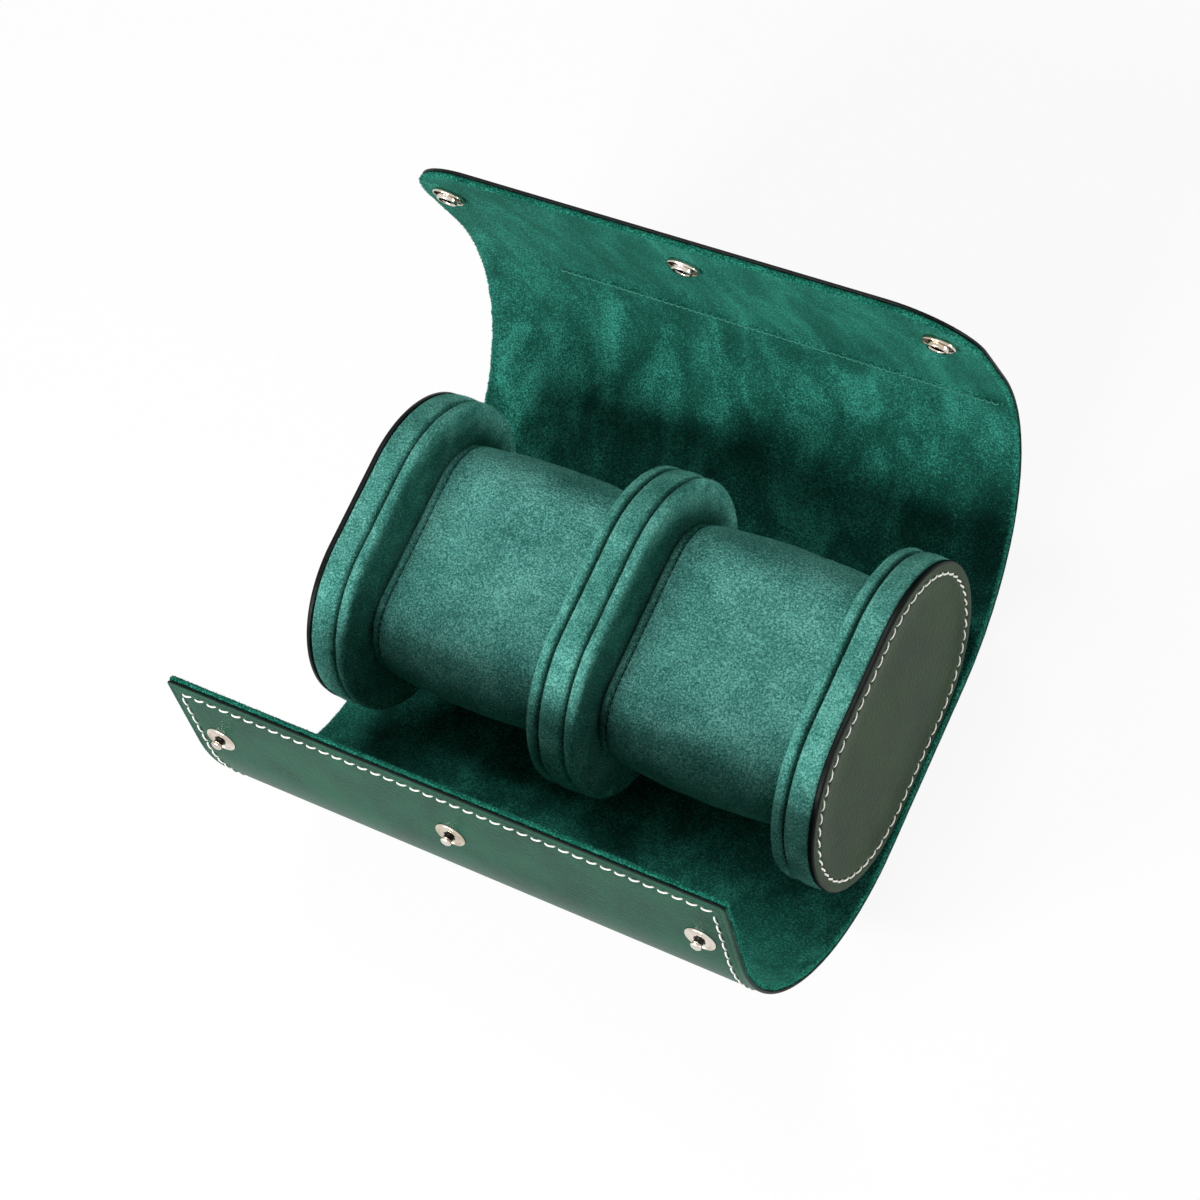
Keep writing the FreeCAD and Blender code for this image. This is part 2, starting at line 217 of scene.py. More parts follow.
@dataclass(frozen=True)
class Suede(Finish):
    """Brushed microsuede: a matt pile with light and dark flecks, brushed patches and a soft sheen."""

    name: str
    shade: str
    middle: str
    lit: str
    sheen: str
    sheen_weight: float
    patch_mm: float
    patch_share: float
    brush: tuple[float, float, float] = (1.0, 1.0, 1.0)
    fleck_mm: float = 0.6
    nap_mm: float = 0.7

    def paint(self, tree: bpy.types.NodeTree, shader: bpy.types.Node) -> None:
        """Mix brushed patches and flecks into the colour, and raise the flecks as nap.

        Args:
            tree: the material's nodes.
            shader: the surface shader.
        """
        rest = self.rest(tree)
        stroked = add_node(
            tree, "ShaderNodeVectorMath", {"operation": "MULTIPLY"}, {0: rest, 1: self.brush}
        )
        patch = add_node(
            tree, "ShaderNodeTexNoise",
            inputs={
                "Vector": stroked.outputs["Vector"],
                "Scale": per_metre(self.patch_mm),
                "Detail": 5.0,
                "Roughness": 0.6,
                "Distortion": 0.5,
            },
        )
        # The real flecks are about half as wide; they are drawn this coarse so that they show.
        fleck = add_node(
            tree, "ShaderNodeTexNoise",
            inputs={"Vector": rest, "Scale": per_metre(self.fleck_mm), "Detail": 3.0, "Roughness": 0.7},
        )
        spread = add_node(
            tree, "ShaderNodeMapRange",
            inputs={"Value": patch.outputs["Fac"], "From Min": 0.34, "From Max": 0.66},
        )
        speck = add_node(
            tree, "ShaderNodeMapRange",
            inputs={"Value": fleck.outputs["Fac"], "From Min": 0.33, "From Max": 0.67},
        )
        pile = add_node(
            tree, "ShaderNodeMix",
            inputs={0: self.patch_share, 2: speck.outputs["Result"], 3: spread.outputs["Result"]},
        )
        ramp = add_node(tree, "ShaderNodeValToRGB", inputs={"Fac": pile.outputs[0]})
        set_ramp(ramp, [(0.1, self.shade), (0.5, self.middle), (0.9, self.lit)])
        nap = add_node(
            tree, "ShaderNodeBump",
            inputs={"Height": fleck.outputs["Fac"], "Strength": 0.8, "Distance": self.nap_mm * MM},
        )
        set_inputs(tree, shader, {
            "Base Color": ramp.outputs["Color"],
            "Normal": nap.outputs["Normal"],
            "Roughness": 0.95,
            "Specular IOR Level": 0.12,
            "Sheen Weight": self.sheen_weight,
            "Sheen Roughness": 0.45,
            "Sheen Tint": linear(self.sheen),
        })


@dataclass(frozen=True)
class Leather(Finish):
    """Coated leather: smooth, with a fine pebbled grain, a satin gloss and slow changes of tone."""

    name: str
    deep: str
    pale: str
    roughness: float
    grain_mm: float = 0.9
    grain_share: float = 0.22
    grain_deep_mm: float = 0.3
    tone_mm: float = 16.0
    gloss_change: float = 0.06

    def paint(self, tree: bpy.types.NodeTree, shader: bpy.types.Node) -> None:
        """Cloud the colour and press the grain into the surface.

        Args:
            tree: the material's nodes.
            shader: the surface shader.
        """
        rest = self.rest(tree)
        tone = add_node(
            tree, "ShaderNodeTexNoise",
            inputs={"Vector": rest, "Scale": per_metre(self.tone_mm), "Detail": 4.0},
        )
        # The real grain is about a third as wide; it is drawn this coarse so that it shows.
        grain = add_node(
            tree, "ShaderNodeTexVoronoi", {"feature": "SMOOTH_F1"},
            inputs={"Vector": rest, "Scale": per_metre(self.grain_mm), "Smoothness": 0.6},
        )
        dyed = add_node(
            tree, "ShaderNodeMix",
            inputs={0: self.grain_share, 2: tone.outputs["Fac"], 3: grain.outputs["Distance"]},
        )
        ramp = add_node(tree, "ShaderNodeValToRGB", inputs={"Fac": dyed.outputs[0]})
        set_ramp(ramp, [(0.3, self.deep), (0.62, self.pale)])
        pressed = add_node(
            tree, "ShaderNodeBump",
            inputs={
                "Height": grain.outputs["Distance"],
                "Strength": 0.35,
                "Distance": self.grain_deep_mm * MM,
            },
        )
        gloss = add_node(
            tree, "ShaderNodeMapRange",
            inputs={
                "Value": tone.outputs["Fac"],
                "To Min": self.roughness - self.gloss_change,
                "To Max": self.roughness + self.gloss_change,
            },
        )
        set_inputs(tree, shader, {
            "Base Color": ramp.outputs["Color"],
            "Normal": pressed.outputs["Normal"],
            "Roughness": gloss.outputs["Result"],
            "Specular IOR Level": 0.07,
        })


@dataclass(frozen=True)
class EdgePaint(Finish):
    """Edge paint: a black glossy bead on cut leather, brushed on a little unevenly."""

    name: str
    colour: str
    worn: str
    streak_mm: float = 3.0
    streak_deep_mm: float = 0.3

    def paint(self, tree: bpy.types.NodeTree, shader: bpy.types.Node) -> None:
        """Streak the paint and let it wander a little in height.

        Args:
            tree: the material's nodes.
            shader: the surface shader.
        """
        rest = self.rest(tree)
        brushed = add_node(
            tree, "ShaderNodeTexNoise",
            inputs={"Vector": rest, "Scale": per_metre(self.streak_mm), "Detail": 3.0},
        )
        ramp = add_node(tree, "ShaderNodeValToRGB", inputs={"Fac": brushed.outputs["Fac"]})
        set_ramp(ramp, [(0.45, self.colour), (0.8, self.worn)])
        uneven = add_node(
            tree, "ShaderNodeBump",
            inputs={
                "Height": brushed.outputs["Fac"],
                "Strength": 0.3,
                "Distance": self.streak_deep_mm * MM,
            },
        )
        set_inputs(tree, shader, {
            "Base Color": ramp.outputs["Color"],
            "Normal": uneven.outputs["Normal"],
            "Roughness": 0.4,
            "Specular IOR Level": 0.1,
        })


@dataclass(frozen=True)
class Thread(Finish):
    """Waxed sewing thread: matt, twisted, a little uneven in tone."""

    name: str
    colour: str
    shade: str
    twist_mm: float = 0.7

    def paint(self, tree: bpy.types.NodeTree, shader: bpy.types.Node) -> None:
        """Band the thread with its twist.

        Args:
            tree: the material's nodes.
            shader: the surface shader.
        """
        rest = self.rest(tree)
        twist = add_node(
            tree, "ShaderNodeTexWave", {"bands_direction": "DIAGONAL"},
            inputs={"Vector": rest, "Scale": per_metre(self.twist_mm) * WAVE_TURN, "Distortion": 1.5},
        )
        ramp = add_node(tree, "ShaderNodeValToRGB", inputs={"Fac": twist.outputs["Fac"]})
        set_ramp(ramp, [(0.0, self.shade), (0.45, self.colour)])
        set_inputs(tree, shader, {
            "Base Color": ramp.outputs["Color"],
            "Roughness": 0.75,
            "Specular IOR Level": 0.15,
            "Sheen Weight": 0.2,
            "Sheen Tint": linear(self.colour),
        })


@dataclass(frozen=True)
class PlatedMetal(Finish):
    """Nickel-plated brass, pressed and tumbled: bright, with a warm tint and faint handling marks."""

    name: str
    colour: str
    tarnish: str
    cloud_mm: float = 6.0

    def paint(self, tree: bpy.types.NodeTree, shader: bpy.types.Node) -> None:
        """Cloud the plating and vary its gloss.

        Args:
            tree: the material's nodes.
            shader: the surface shader.
        """
        rest = self.rest(tree)
        cloud = add_node(
            tree, "ShaderNodeTexNoise",
            inputs={"Vector": rest, "Scale": per_metre(self.cloud_mm), "Detail": 2.0},
        )
        ramp = add_node(tree, "ShaderNodeValToRGB", inputs={"Fac": cloud.outputs["Fac"]})
        set_ramp(ramp, [(0.3, self.tarnish), (0.6, self.colour)])
        gloss = add_node(
            tree, "ShaderNodeMapRange",
            inputs={"Value": cloud.outputs["Fac"], "To Min": 0.1, "To Max": 0.24},
        )
        set_inputs(tree, shader, {
            "Base Color": ramp.outputs["Color"],
            "Roughness": gloss.outputs["Result"],
            "Metallic": 1.0,
        })


# Suede drawn tight over the pillows: pale, with even flecks.
PILLOW_SUEDE = Suede(
    "pillow_suede", shade="#1a544b", middle="#45897f", lit="#82cbbe", sheen="#9fd8ca",
    sheen_weight=0.15, patch_mm=18.0, patch_share=0.24,
)
# Suede stretched round the discs: bright on the rims, where the pile stands up.
RIM_SUEDE = Suede(
    "rim_suede", shade="#1d5c50", middle="#4a968a", lit="#8adaca", sheen="#9fe0ce",
    sheen_weight=0.25, patch_mm=12.0, patch_share=0.3,
)
# Lining suede, stroked by hand: deep green with dark and light clouds.
LINING_SUEDE = Suede(
    "lining_suede", shade="#032b23", middle="#115548", lit="#44a894", sheen="#46b098",
    sheen_weight=0.5, patch_mm=20.0, patch_share=0.38, brush=(1.2, 1.0, 0.5),
)
# The lining's cut edge: a soft fringe, a little lighter than the lining.
EDGE_SUEDE = Suede(
    "edge_suede", shade="#053a2f", middle="#116856", lit="#40ac93", sheen="#46b098",
    sheen_weight=0.4, patch_mm=8.0, patch_share=0.2,
)
# Coated leather of the wrap: dark blue green with a satin gloss.
WRAP_LEATHER = Leather("wrap_leather", deep="#0d392b", pale="#1e4f3d", roughness=0.4)
# Coated leather of the caps: olive green and duller.
CAP_LEATHER = Leather("cap_leather", deep="#182818", pale="#273a23", roughness=0.44)
# Paint on the cut edges: a black line with a narrow gleam.
BLACK_EDGE = EdgePaint("edge_paint", colour="#040705", worn="#101713")
# Thread of the saddle stitches: near white and matt.
WHITE_THREAD = Thread("waxed_thread", colour="#fffef8", shade="#ebe8de")
# Thread on the flap seam's ridge, much lighter than the lining: a painted highlight along the ridge.
RIDGE_HIGHLIGHT_THREAD = Thread("lining_thread", colour="#4f9f8c", shade="#2c7464")
# Thread down in the grooves: nearly black, partly the thread's own colour and partly painted shade of
# the grooves; on the flap it draws a painted shadow below the seam's ridge.
GROOVE_SHADE_THREAD = Thread("seam_thread", colour="#0e2f28", shade="#06201a")
# Plate on the snaps: bright, with sharp reflections.
NICKEL = PlatedMetal("nickel_plate", colour="#ded6ca", tarnish="#c2b39e")
# Dark blued steel: the springs in the sockets' bores, linings in the sockets' wells and collars round
# the studs' necks. Its darkness in all of these is painted shade that makes the hollows look deep, and
# in the bores it is also the springs' own colour.
STEEL_AND_PAINTED_SHADE = PlatedMetal("steel_and_painted_shade", colour="#2b2a28", tarnish="#151413")


@dataclass
class SoftNoise:
    """Smooth repeatable unevenness, made of a few waves in set directions."""

    size: float
    seed: int
    waves: int = 24
    shortest: float = 0.7
    longest: float = 1.5

    def at(self, points: np.ndarray) -> np.ndarray:
        """The unevenness at each point.

        Args:
            points: places, one row each.

        Returns:
            One value for each point, mostly from -1 to 1.
        """
        draw = np.random.default_rng(self.seed)
        ways = draw.normal(size=(self.waves, points.shape[1]))
        ways /= np.linalg.norm(ways, axis=1)[:, None]
        lengths = self.size * draw.uniform(self.shortest, self.longest, self.waves)
        counts = 2 * math.pi / lengths
        starts = draw.uniform(0, 2 * math.pi, self.waves)
        swings = np.sin(points @ (ways * counts[:, None]).T + starts)
        return swings.sum(axis=1) / math.sqrt(self.waves)


@dataclass
class Shell:
    """Points and faces of a mesh while it is put together."""

    points: list[np.ndarray] = field(default_factory=list)
    faces: list[tuple[int, ...]] = field(default_factory=list)
    slots: list[int] = field(default_factory=list)
    count: int = 0

    def add_points(self, rows: np.ndarray) -> np.ndarray:
        """Add points.

        Args:
            rows: the points, in any arrangement.

        Returns:
            Their numbers in the same arrangement.
        """
        flat = rows.reshape(-1, 3)
        numbers = np.arange(self.count, self.count + len(flat)).reshape(rows.shape[:-1])
        self.points.append(flat)
        self.count += len(flat)
        return numbers

    def add_face(self, corners: Sequence[int], slot: int = 0) -> None:
        """Add one face."""
        self.faces.append(tuple(int(corner) for corner in corners))
        self.slots.append(slot)

    def add_grid(self, numbers: np.ndarray, slot: int = 0, closed: bool = False) -> None:
        """Join a grid of point numbers by four-sided faces.

        Args:
            numbers: the grid's point numbers.
            slot: the material slot of the faces.
            closed: whether the last column joins the first.
        """
        following = np.roll(numbers, -1, axis=1) if closed else numbers[:, 1:]
        first = numbers if closed else numbers[:, :-1]
        quads = np.stack([first[:-1], following[:-1], following[1:], first[1:]], axis=-1)
        for quad in quads.reshape(-1, 4):
            self.add_face(quad, slot)

    def build(
        self, name: str, finishes: Sequence[Finish], crease_deg: float = 50.0
    ) -> bpy.types.Object:
        """Make the mesh object, with its faces outwards and each point's rest place kept.

        Args:
            name: the piece's name.
            finishes: the finishes of its material slots.
            crease_deg: edges sharper than this stay sharp.

        Returns:
            The new object, linked to the scene.
        """
        mesh = bpy.data.meshes.new(name)
        mesh.from_pydata(np.concatenate(self.points), [], self.faces)
        mesh.polygons.foreach_set("material_index", np.array(self.slots, dtype=np.int32))
        return finish_mesh(name, mesh, finishes, crease_deg)


def finish_mesh(
    name: str, mesh: bpy.types.Mesh, finishes: Sequence[Finish], crease_deg: float
) -> bpy.types.Object:
    """Turn a raw mesh into a finished object.

    Args:
        name: the piece's name.
        mesh: the mesh, with its material numbers set.
        finishes: the finishes of its material slots.
        crease_deg: edges sharper than this stay sharp.

    Returns:
        The new object, linked to the scene.
    """
    work = bmesh.new()
    work.from_mesh(mesh)
    bmesh.ops.recalc_face_normals(work, faces=work.faces)
    work.to_mesh(mesh)
    work.free()
    for finish in finishes:
        mesh.materials.append(finish.material())
    mesh.shade_smooth()
    mesh.set_sharp_from_angle(angle=math.radians(crease_deg))
    keep_rest(mesh)
    return link(name, mesh)


def keep_rest(mesh: bpy.types.Mesh) -> None:
    """Keep each point's place at rest as an attribute for the materials.

    Args:
        mesh: the mesh.
    """
    places = np.zeros(len(mesh.vertices) * 3, dtype=np.float32)
    mesh.vertices.foreach_get("co", places)
    kept = mesh.attributes.get(REST) or mesh.attributes.new(REST, "FLOAT_VECTOR", "POINT")
    kept.data.foreach_set("vector", places)


def report(piece: bpy.types.Object) -> None:
    """Log a finished piece with its number of faces."""
    log.info("%s: %d faces", piece.name, len(piece.data.polygons))


def fit(
    piece: bpy.types.Object, body: str, solids: Sequence[str] = ()
) -> None:
    """Let a rigid piece ride on its body, and report it.

    Args:
        piece: the finished piece.
        body: the body that carries it.
        solids: the CAD nodes that the piece stands for.
    """
    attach(piece, body)
    if solids:
        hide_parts(*solids)
    report(piece)


@dataclass
class WrapSection:
    """The wrap's section across its folds: a flat base with a roll and a flat strip at each end.

    Places along it are measured on the lining's face from the middle of the base, with the front
    negative. Depths are measured below the lining's face.
    """

    base_half: float = 28.0 * MM
    thick: float = 3.0 * MM
    front_radius: float = 61.5 * MM
    front_sweep: float = math.radians(106.0)
    front_fold: float = math.radians(53.0)
    front_strip: float = 32.0 * MM
    back_radius: float = 73.0 * MM
    back_sweep: float = math.radians(96.0)
    back_low_fold: float = math.radians(32.0)
    back_high_fold: float = math.radians(64.0)
    back_strip: float = 47.0 * MM

    def fold(self, side: Side, angle: float) -> float:
        """The place along the wrap of a fold, given by its angle from the base."""
        radius = self.front_radius if side is Side.FRONT else self.back_radius
        return side.value * (self.base_half + (radius - self.thick) * angle)

    @property
    def front_end(self) -> float:
        """The place of the front strip's free edge."""
        return self.fold(Side.FRONT, self.front_sweep) - self.front_strip

    @property
    def back_end(self) -> float:
        """The place of the back strip's free edge."""
        return self.fold(Side.BACK, self.back_sweep) + self.back_strip

    def at(self, along: np.ndarray, depth: np.ndarray) -> tuple[np.ndarray, np.ndarray, np.ndarray]:
        """Places, tangents and inward normals of points of the section.

        Args:
            along: places along the wrap.
            depth: depths below the lining's face.

        Returns:
            Three arrays of across and up values.
        """
        along = np.asarray(along, dtype=float)
        side = np.where(along < 0, -1.0, 1.0)
        radius = np.where(along < 0, self.front_radius, self.back_radius)
        sweep = np.where(along < 0, self.front_sweep, self.back_sweep)
        inner = radius - self.thick
        travel = np.abs(along)
        angle = np.clip((travel - self.base_half) / inner, 0, sweep)
        past = np.maximum(travel - self.base_half - inner * sweep, 0)
        short = np.maximum(self.base_half - travel, 0)
        normal = np.stack([-side * np.sin(angle), np.cos(angle)], axis=-1)
        tangent = np.stack([np.cos(angle), side * np.sin(angle)], axis=-1)
        across = side * (self.base_half - short + inner * np.sin(angle) + past * np.cos(angle))
        up = radius - inner * np.cos(angle) + past * np.sin(angle)
        place = np.stack([across, up], axis=-1) - np.asarray(depth)[..., None] * normal
        return place, tangent, normal

    def point(self, x: float, along: float, depth: float) -> Vector:
        """One point of the wrap."""
        place = self.at(np.array([along]), np.array([depth]))[0][0]
        return Vector((x, place[0], place[1]))


@dataclass
class WrapCut:
    """The wrap's outline laid flat: square corners at the front and round ones at the back."""

    half_width: float
    front_end: float
    back_end: float
    front_corner: float = 1.5 * MM
    back_corner: float = 25.0 * MM

    def corner(self, along: np.ndarray) -> tuple[np.ndarray, np.ndarray]:
        """Find the corner at the end that each place is nearer to.

        Args:
            along: places along the wrap.

        Returns:
            The corner's radius, and how far each place lies past its centre.
        """
        front = along < 0
        radius = np.where(front, self.front_corner, self.back_corner)
        past = np.where(
            front, self.front_end + self.front_corner - along, along - self.back_end + self.back_corner
        )
        return radius, past

    def half_at(self, along: np.ndarray, inset: float) -> np.ndarray:
        """Find half the width of the outline drawn in by an inset.

        Args:
            along: places along the wrap.
            inset: how far the outline is drawn in.

        Returns:
            Half the width at each place.
        """
        radius, past = self.corner(along)
        bow = np.sqrt(np.maximum((radius - inset) ** 2 - np.maximum(past, 0) ** 2, 0))
        return self.half_width - radius + bow

    def from_edge(self, x: np.ndarray, along: np.ndarray) -> np.ndarray:
        """Measure how far points lie inside the outline.

        Args:
            x: places across the wrap.
            along: places along it.

        Returns:
            The distance of each point.
        """
        radius, past = self.corner(along)
        beside = np.abs(x) - (self.half_width - radius)
        round_part = (beside > 0) & (past > 0)
        reach = np.where(round_part, np.hypot(beside, past), np.maximum(beside, past))
        return radius - reach


@dataclass
class Layer:
    """One layer of the wrap, with a half-round edge, by its depths below the lining's face."""

    name: str
    top: float
    bottom: float
    finishes: Sequence[Finish]
    edge_slots: Sequence[int]
    relief: Callable[[np.ndarray, np.ndarray], tuple[np.ndarray, np.ndarray]]
    edge_fuzz: float

    @property
    def half(self) -> float:
        """Half the layer's thickness, which is its edge's radius."""
        return (self.bottom - self.top) / 2


@dataclass
class Stretch:
    """A stretch of the wrap that curves across one fold, between two bodies."""

    name: str
    start: float
    end: float
    fold: float
    near_body: str
    far_body: str
    nodes: Sequence[str]
    reach: float = 16.0 * MM

    @property
    def side(self) -> Side:
        """The side of the base that the stretch lies on."""
        return Side.FRONT if self.fold < 0 else Side.BACK

    def blend(self, piece: bpy.types.Object, section: WrapSection) -> None:
        """Bake the piece's place into its mesh; the points either side of the fold are found but not
        used.

        Args:
            piece: a finished piece of the stretch.
            section: the wrap's section.
        """
        way = self.side.value
        start = section.point(0, self.fold - way * self.reach, 0)
        end = section.point(0, self.fold + way * self.reach, 0)
        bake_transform(piece)


class PieceTree:
    """Geometry Nodes that repeat a small piece over their input, with named inputs for its sizes."""

    NAME: str
    INPUTS: dict[str, str]

    def __init__(self) -> None:
        """Build the tree: its inputs, the placed pieces, made real and given their material."""
        tree = bpy.data.node_groups.new(self.NAME, "GeometryNodeTree")
        face = tree.interface
        face.new_socket("Geometry", in_out="INPUT", socket_type="NodeSocketGeometry")
        for name, kind in self.INPUTS.items():
            face.new_socket(name, in_out="INPUT", socket_type=f"NodeSocket{kind}")
        face.new_socket("Material", in_out="INPUT", socket_type="NodeSocketMaterial")
        face.new_socket("Geometry", in_out="OUTPUT", socket_type="NodeSocketGeometry")
        self.tree = tree
        given = add_node(tree, "NodeGroupInput").outputs
        real = add_node(tree, "GeometryNodeRealizeInstances", inputs={"Geometry": self.placed(given)})
        dyed = add_node(
            tree, "GeometryNodeSetMaterial",
            inputs={"Geometry": real.outputs["Geometry"], "Material": given["Material"]},
        )
        add_node(tree, "NodeGroupOutput", inputs={"Geometry": dyed.outputs["Geometry"]})

    def placed(self, given: bpy.types.NodeOutputs) -> bpy.types.NodeSocket:
        """Place one instance of the piece at each of its places."""
        raise NotImplementedError

    def run(self, guide: bpy.types.Object, values: dict, name: str) -> bpy.types.Object:
        """Run the tree on a guide and turn what it makes into a plain mesh object.

        Args:
            guide: the object that the tree starts from. It is removed.
            values: the tree's inputs by name.
            name: the new piece's name.

        Returns:
            The plain mesh object, linked to the scene.
        """
        nodes = guide.modifiers.new(self.NAME, "NODES")
        nodes.node_group = self.tree
        for socket in self.tree.interface.items_tree:
            if socket.in_out == "INPUT" and socket.name in values:
                nodes[socket.identifier] = values[socket.name]
        depsgraph = bpy.context.evaluated_depsgraph_get()
        mesh = bpy.data.meshes.new_from_object(guide.evaluated_get(depsgraph), depsgraph=depsgraph)
        guide.modifiers.remove(nodes)
        bpy.data.objects.remove(guide)
        mesh.name = name
        keep_rest(mesh)
        return link(name, mesh)


class StitchTree(PieceTree):
    """Arched stitches sewn along the input's lines."""

    NAME = "saddle_stitches"
    INPUTS = dict.fromkeys(
        ("Pitch", "Stitch Length", "Thread Width", "Arch", "Sink", "Slant"), "Float"
    )
    WANDER = 0.05
    WANDER_SEED = 5
    BOW_STEPS = 8
    THREAD_SIDES = 6

    def placed(self, given: bpy.types.NodeOutputs) -> bpy.types.NodeSocket:
        """Space the lines, stand a stitch on each point and slant it, each a little differently.

        Args:
            given: the tree's inputs.

        Returns:
            The placed stitches.
        """
        tree = self.tree
        lines = add_node(tree, "GeometryNodeMeshToCurve", inputs={"Mesh": given["Geometry"]})
        spaced = add_node(
            tree, "GeometryNodeResampleCurve", {"mode": "LENGTH"},
            {"Curve": lines.outputs["Curve"], "Length": given["Pitch"]},
        )
        facing = add_node(
            tree, "GeometryNodeInputNamedAttribute", {"data_type": "FLOAT_VECTOR"}, {"Name": "facing"}
        )
        heading = add_node(tree, "GeometryNodeInputTangent")
        stand = add_node(
            tree, "FunctionNodeAxesToRotation", {"primary_axis": "Z", "secondary_axis": "X"},
            {"Primary Axis": facing.outputs["Attribute"], "Secondary Axis": heading.outputs["Tangent"]},
        )
        standing = add_node(
            tree, "GeometryNodeInstanceOnPoints",
            inputs={
                "Points": spaced.outputs["Curve"],
                "Instance": self.stitch(given),
                "Rotation": stand.outputs["Rotation"],
            },
        )
        wander = add_node(
            tree, "FunctionNodeRandomValue", {"data_type": "FLOAT"},
            {2: -self.WANDER, 3: self.WANDER, "Seed": self.WANDER_SEED},
        )
        slant = add_node(
            tree, "ShaderNodeMath", {"operation": "ADD"}, {0: given["Slant"], 1: wander.outputs[1]}
        )
        turn = add_node(tree, "ShaderNodeCombineXYZ", inputs={"Z": slant.outputs["Value"]})
        slanted = add_node(
            tree, "GeometryNodeRotateInstances",
            inputs={"Instances": standing.outputs["Instances"], "Rotation": turn.outputs["Vector"]},
        )
        return slanted.outputs["Instances"]

    def stitch(self, given: bpy.types.NodeOutputs) -> bpy.types.NodeSocket:
        """Make one stitch along X: a round thread that rises steeply out of its holes.

        Args:
            given: the tree's inputs.

        Returns:
            The stitch.
        """
        tree = self.tree
        ends = {
            "Start": (-0.5, "Sink"),
            "Start Handle": (-0.5, "Arch"),
            "End Handle": (0.5, "Arch"),
            "End": (0.5, "Sink"),
        }
        places = {}
        for end, (share, height) in ends.items():
            x = add_node(
                tree, "ShaderNodeMath", {"operation": "MULTIPLY"}, {0: given["Stitch Length"], 1: share}
            )
            place = add_node(
                tree, "ShaderNodeCombineXYZ", inputs={"X": x.outputs["Value"], "Z": given[height]}
            )
            places[end] = place.outputs["Vector"]
        bow = add_node(
            tree, "GeometryNodeCurvePrimitiveBezierSegment", {"mode": "POSITION"},
            {"Resolution": self.BOW_STEPS, **places},
        )
        radius = add_node(
            tree, "ShaderNodeMath", {"operation": "MULTIPLY"}, {0: given["Thread Width"], 1: 0.5}
        )
        round_thread = add_node(
            tree, "GeometryNodeCurvePrimitiveCircle",
            inputs={"Resolution": self.THREAD_SIDES, "Radius": radius.outputs["Value"]},
        )
        body = add_node(
            tree, "GeometryNodeCurveToMesh",
            inputs={
                "Curve": bow.outputs["Curve"],
                "Profile Curve": round_thread.outputs["Curve"],
                "Fill Caps": True,
            },
        )
        smooth = add_node(tree, "GeometryNodeSetShadeSmooth", inputs={"Geometry": body.outputs["Mesh"]})
        return smooth.outputs["Geometry"]


@dataclass
class Stitching:
    """A kind of stitch: its sizes and its thread."""

    thread: Thread
    pitch: float = 4.5 * MM
    length: float = 3.5 * MM
    width: float = 0.7 * MM
    arch: float = 0.58 * MM
    sink: float = -0.35 * MM
    slant: float = math.radians(10.0)

    def sew(self, tree: StitchTree, name: str, lines: Sequence[StitchLine]) -> bpy.types.Object:
        """Sew stitches along lines on a surface.

        Args:
            tree: the tree that makes the stitches.
            name: the piece's name.
            lines: for each line, its points and the surface's normals there.

        Returns:
            The stitches as one plain mesh object.
        """
        mesh = bpy.data.meshes.new(f"{name}_lines")
        points = np.concatenate([line for line, _ in lines])
        normals = np.concatenate([facing for _, facing in lines])
        edges, first = [], 0
        for line, _ in lines:
            edges += [(first + at, first + at + 1) for at in range(len(line) - 1)]
            first += len(line)
        mesh.from_pydata(points, edges, [])
        facing = mesh.attributes.new("facing", "FLOAT_VECTOR", "POINT")
        facing.data.foreach_set("vector", normals.astype(np.float32).ravel())
        values = {
            "Pitch": self.pitch,
            "Stitch Length": self.length,
            "Thread Width": self.width,
            "Arch": self.arch,
            "Sink": self.sink,
            "Slant": self.slant,
            "Material": self.thread.material(),
        }
        return tree.run(link(f"{name}_guide", mesh), values, name)


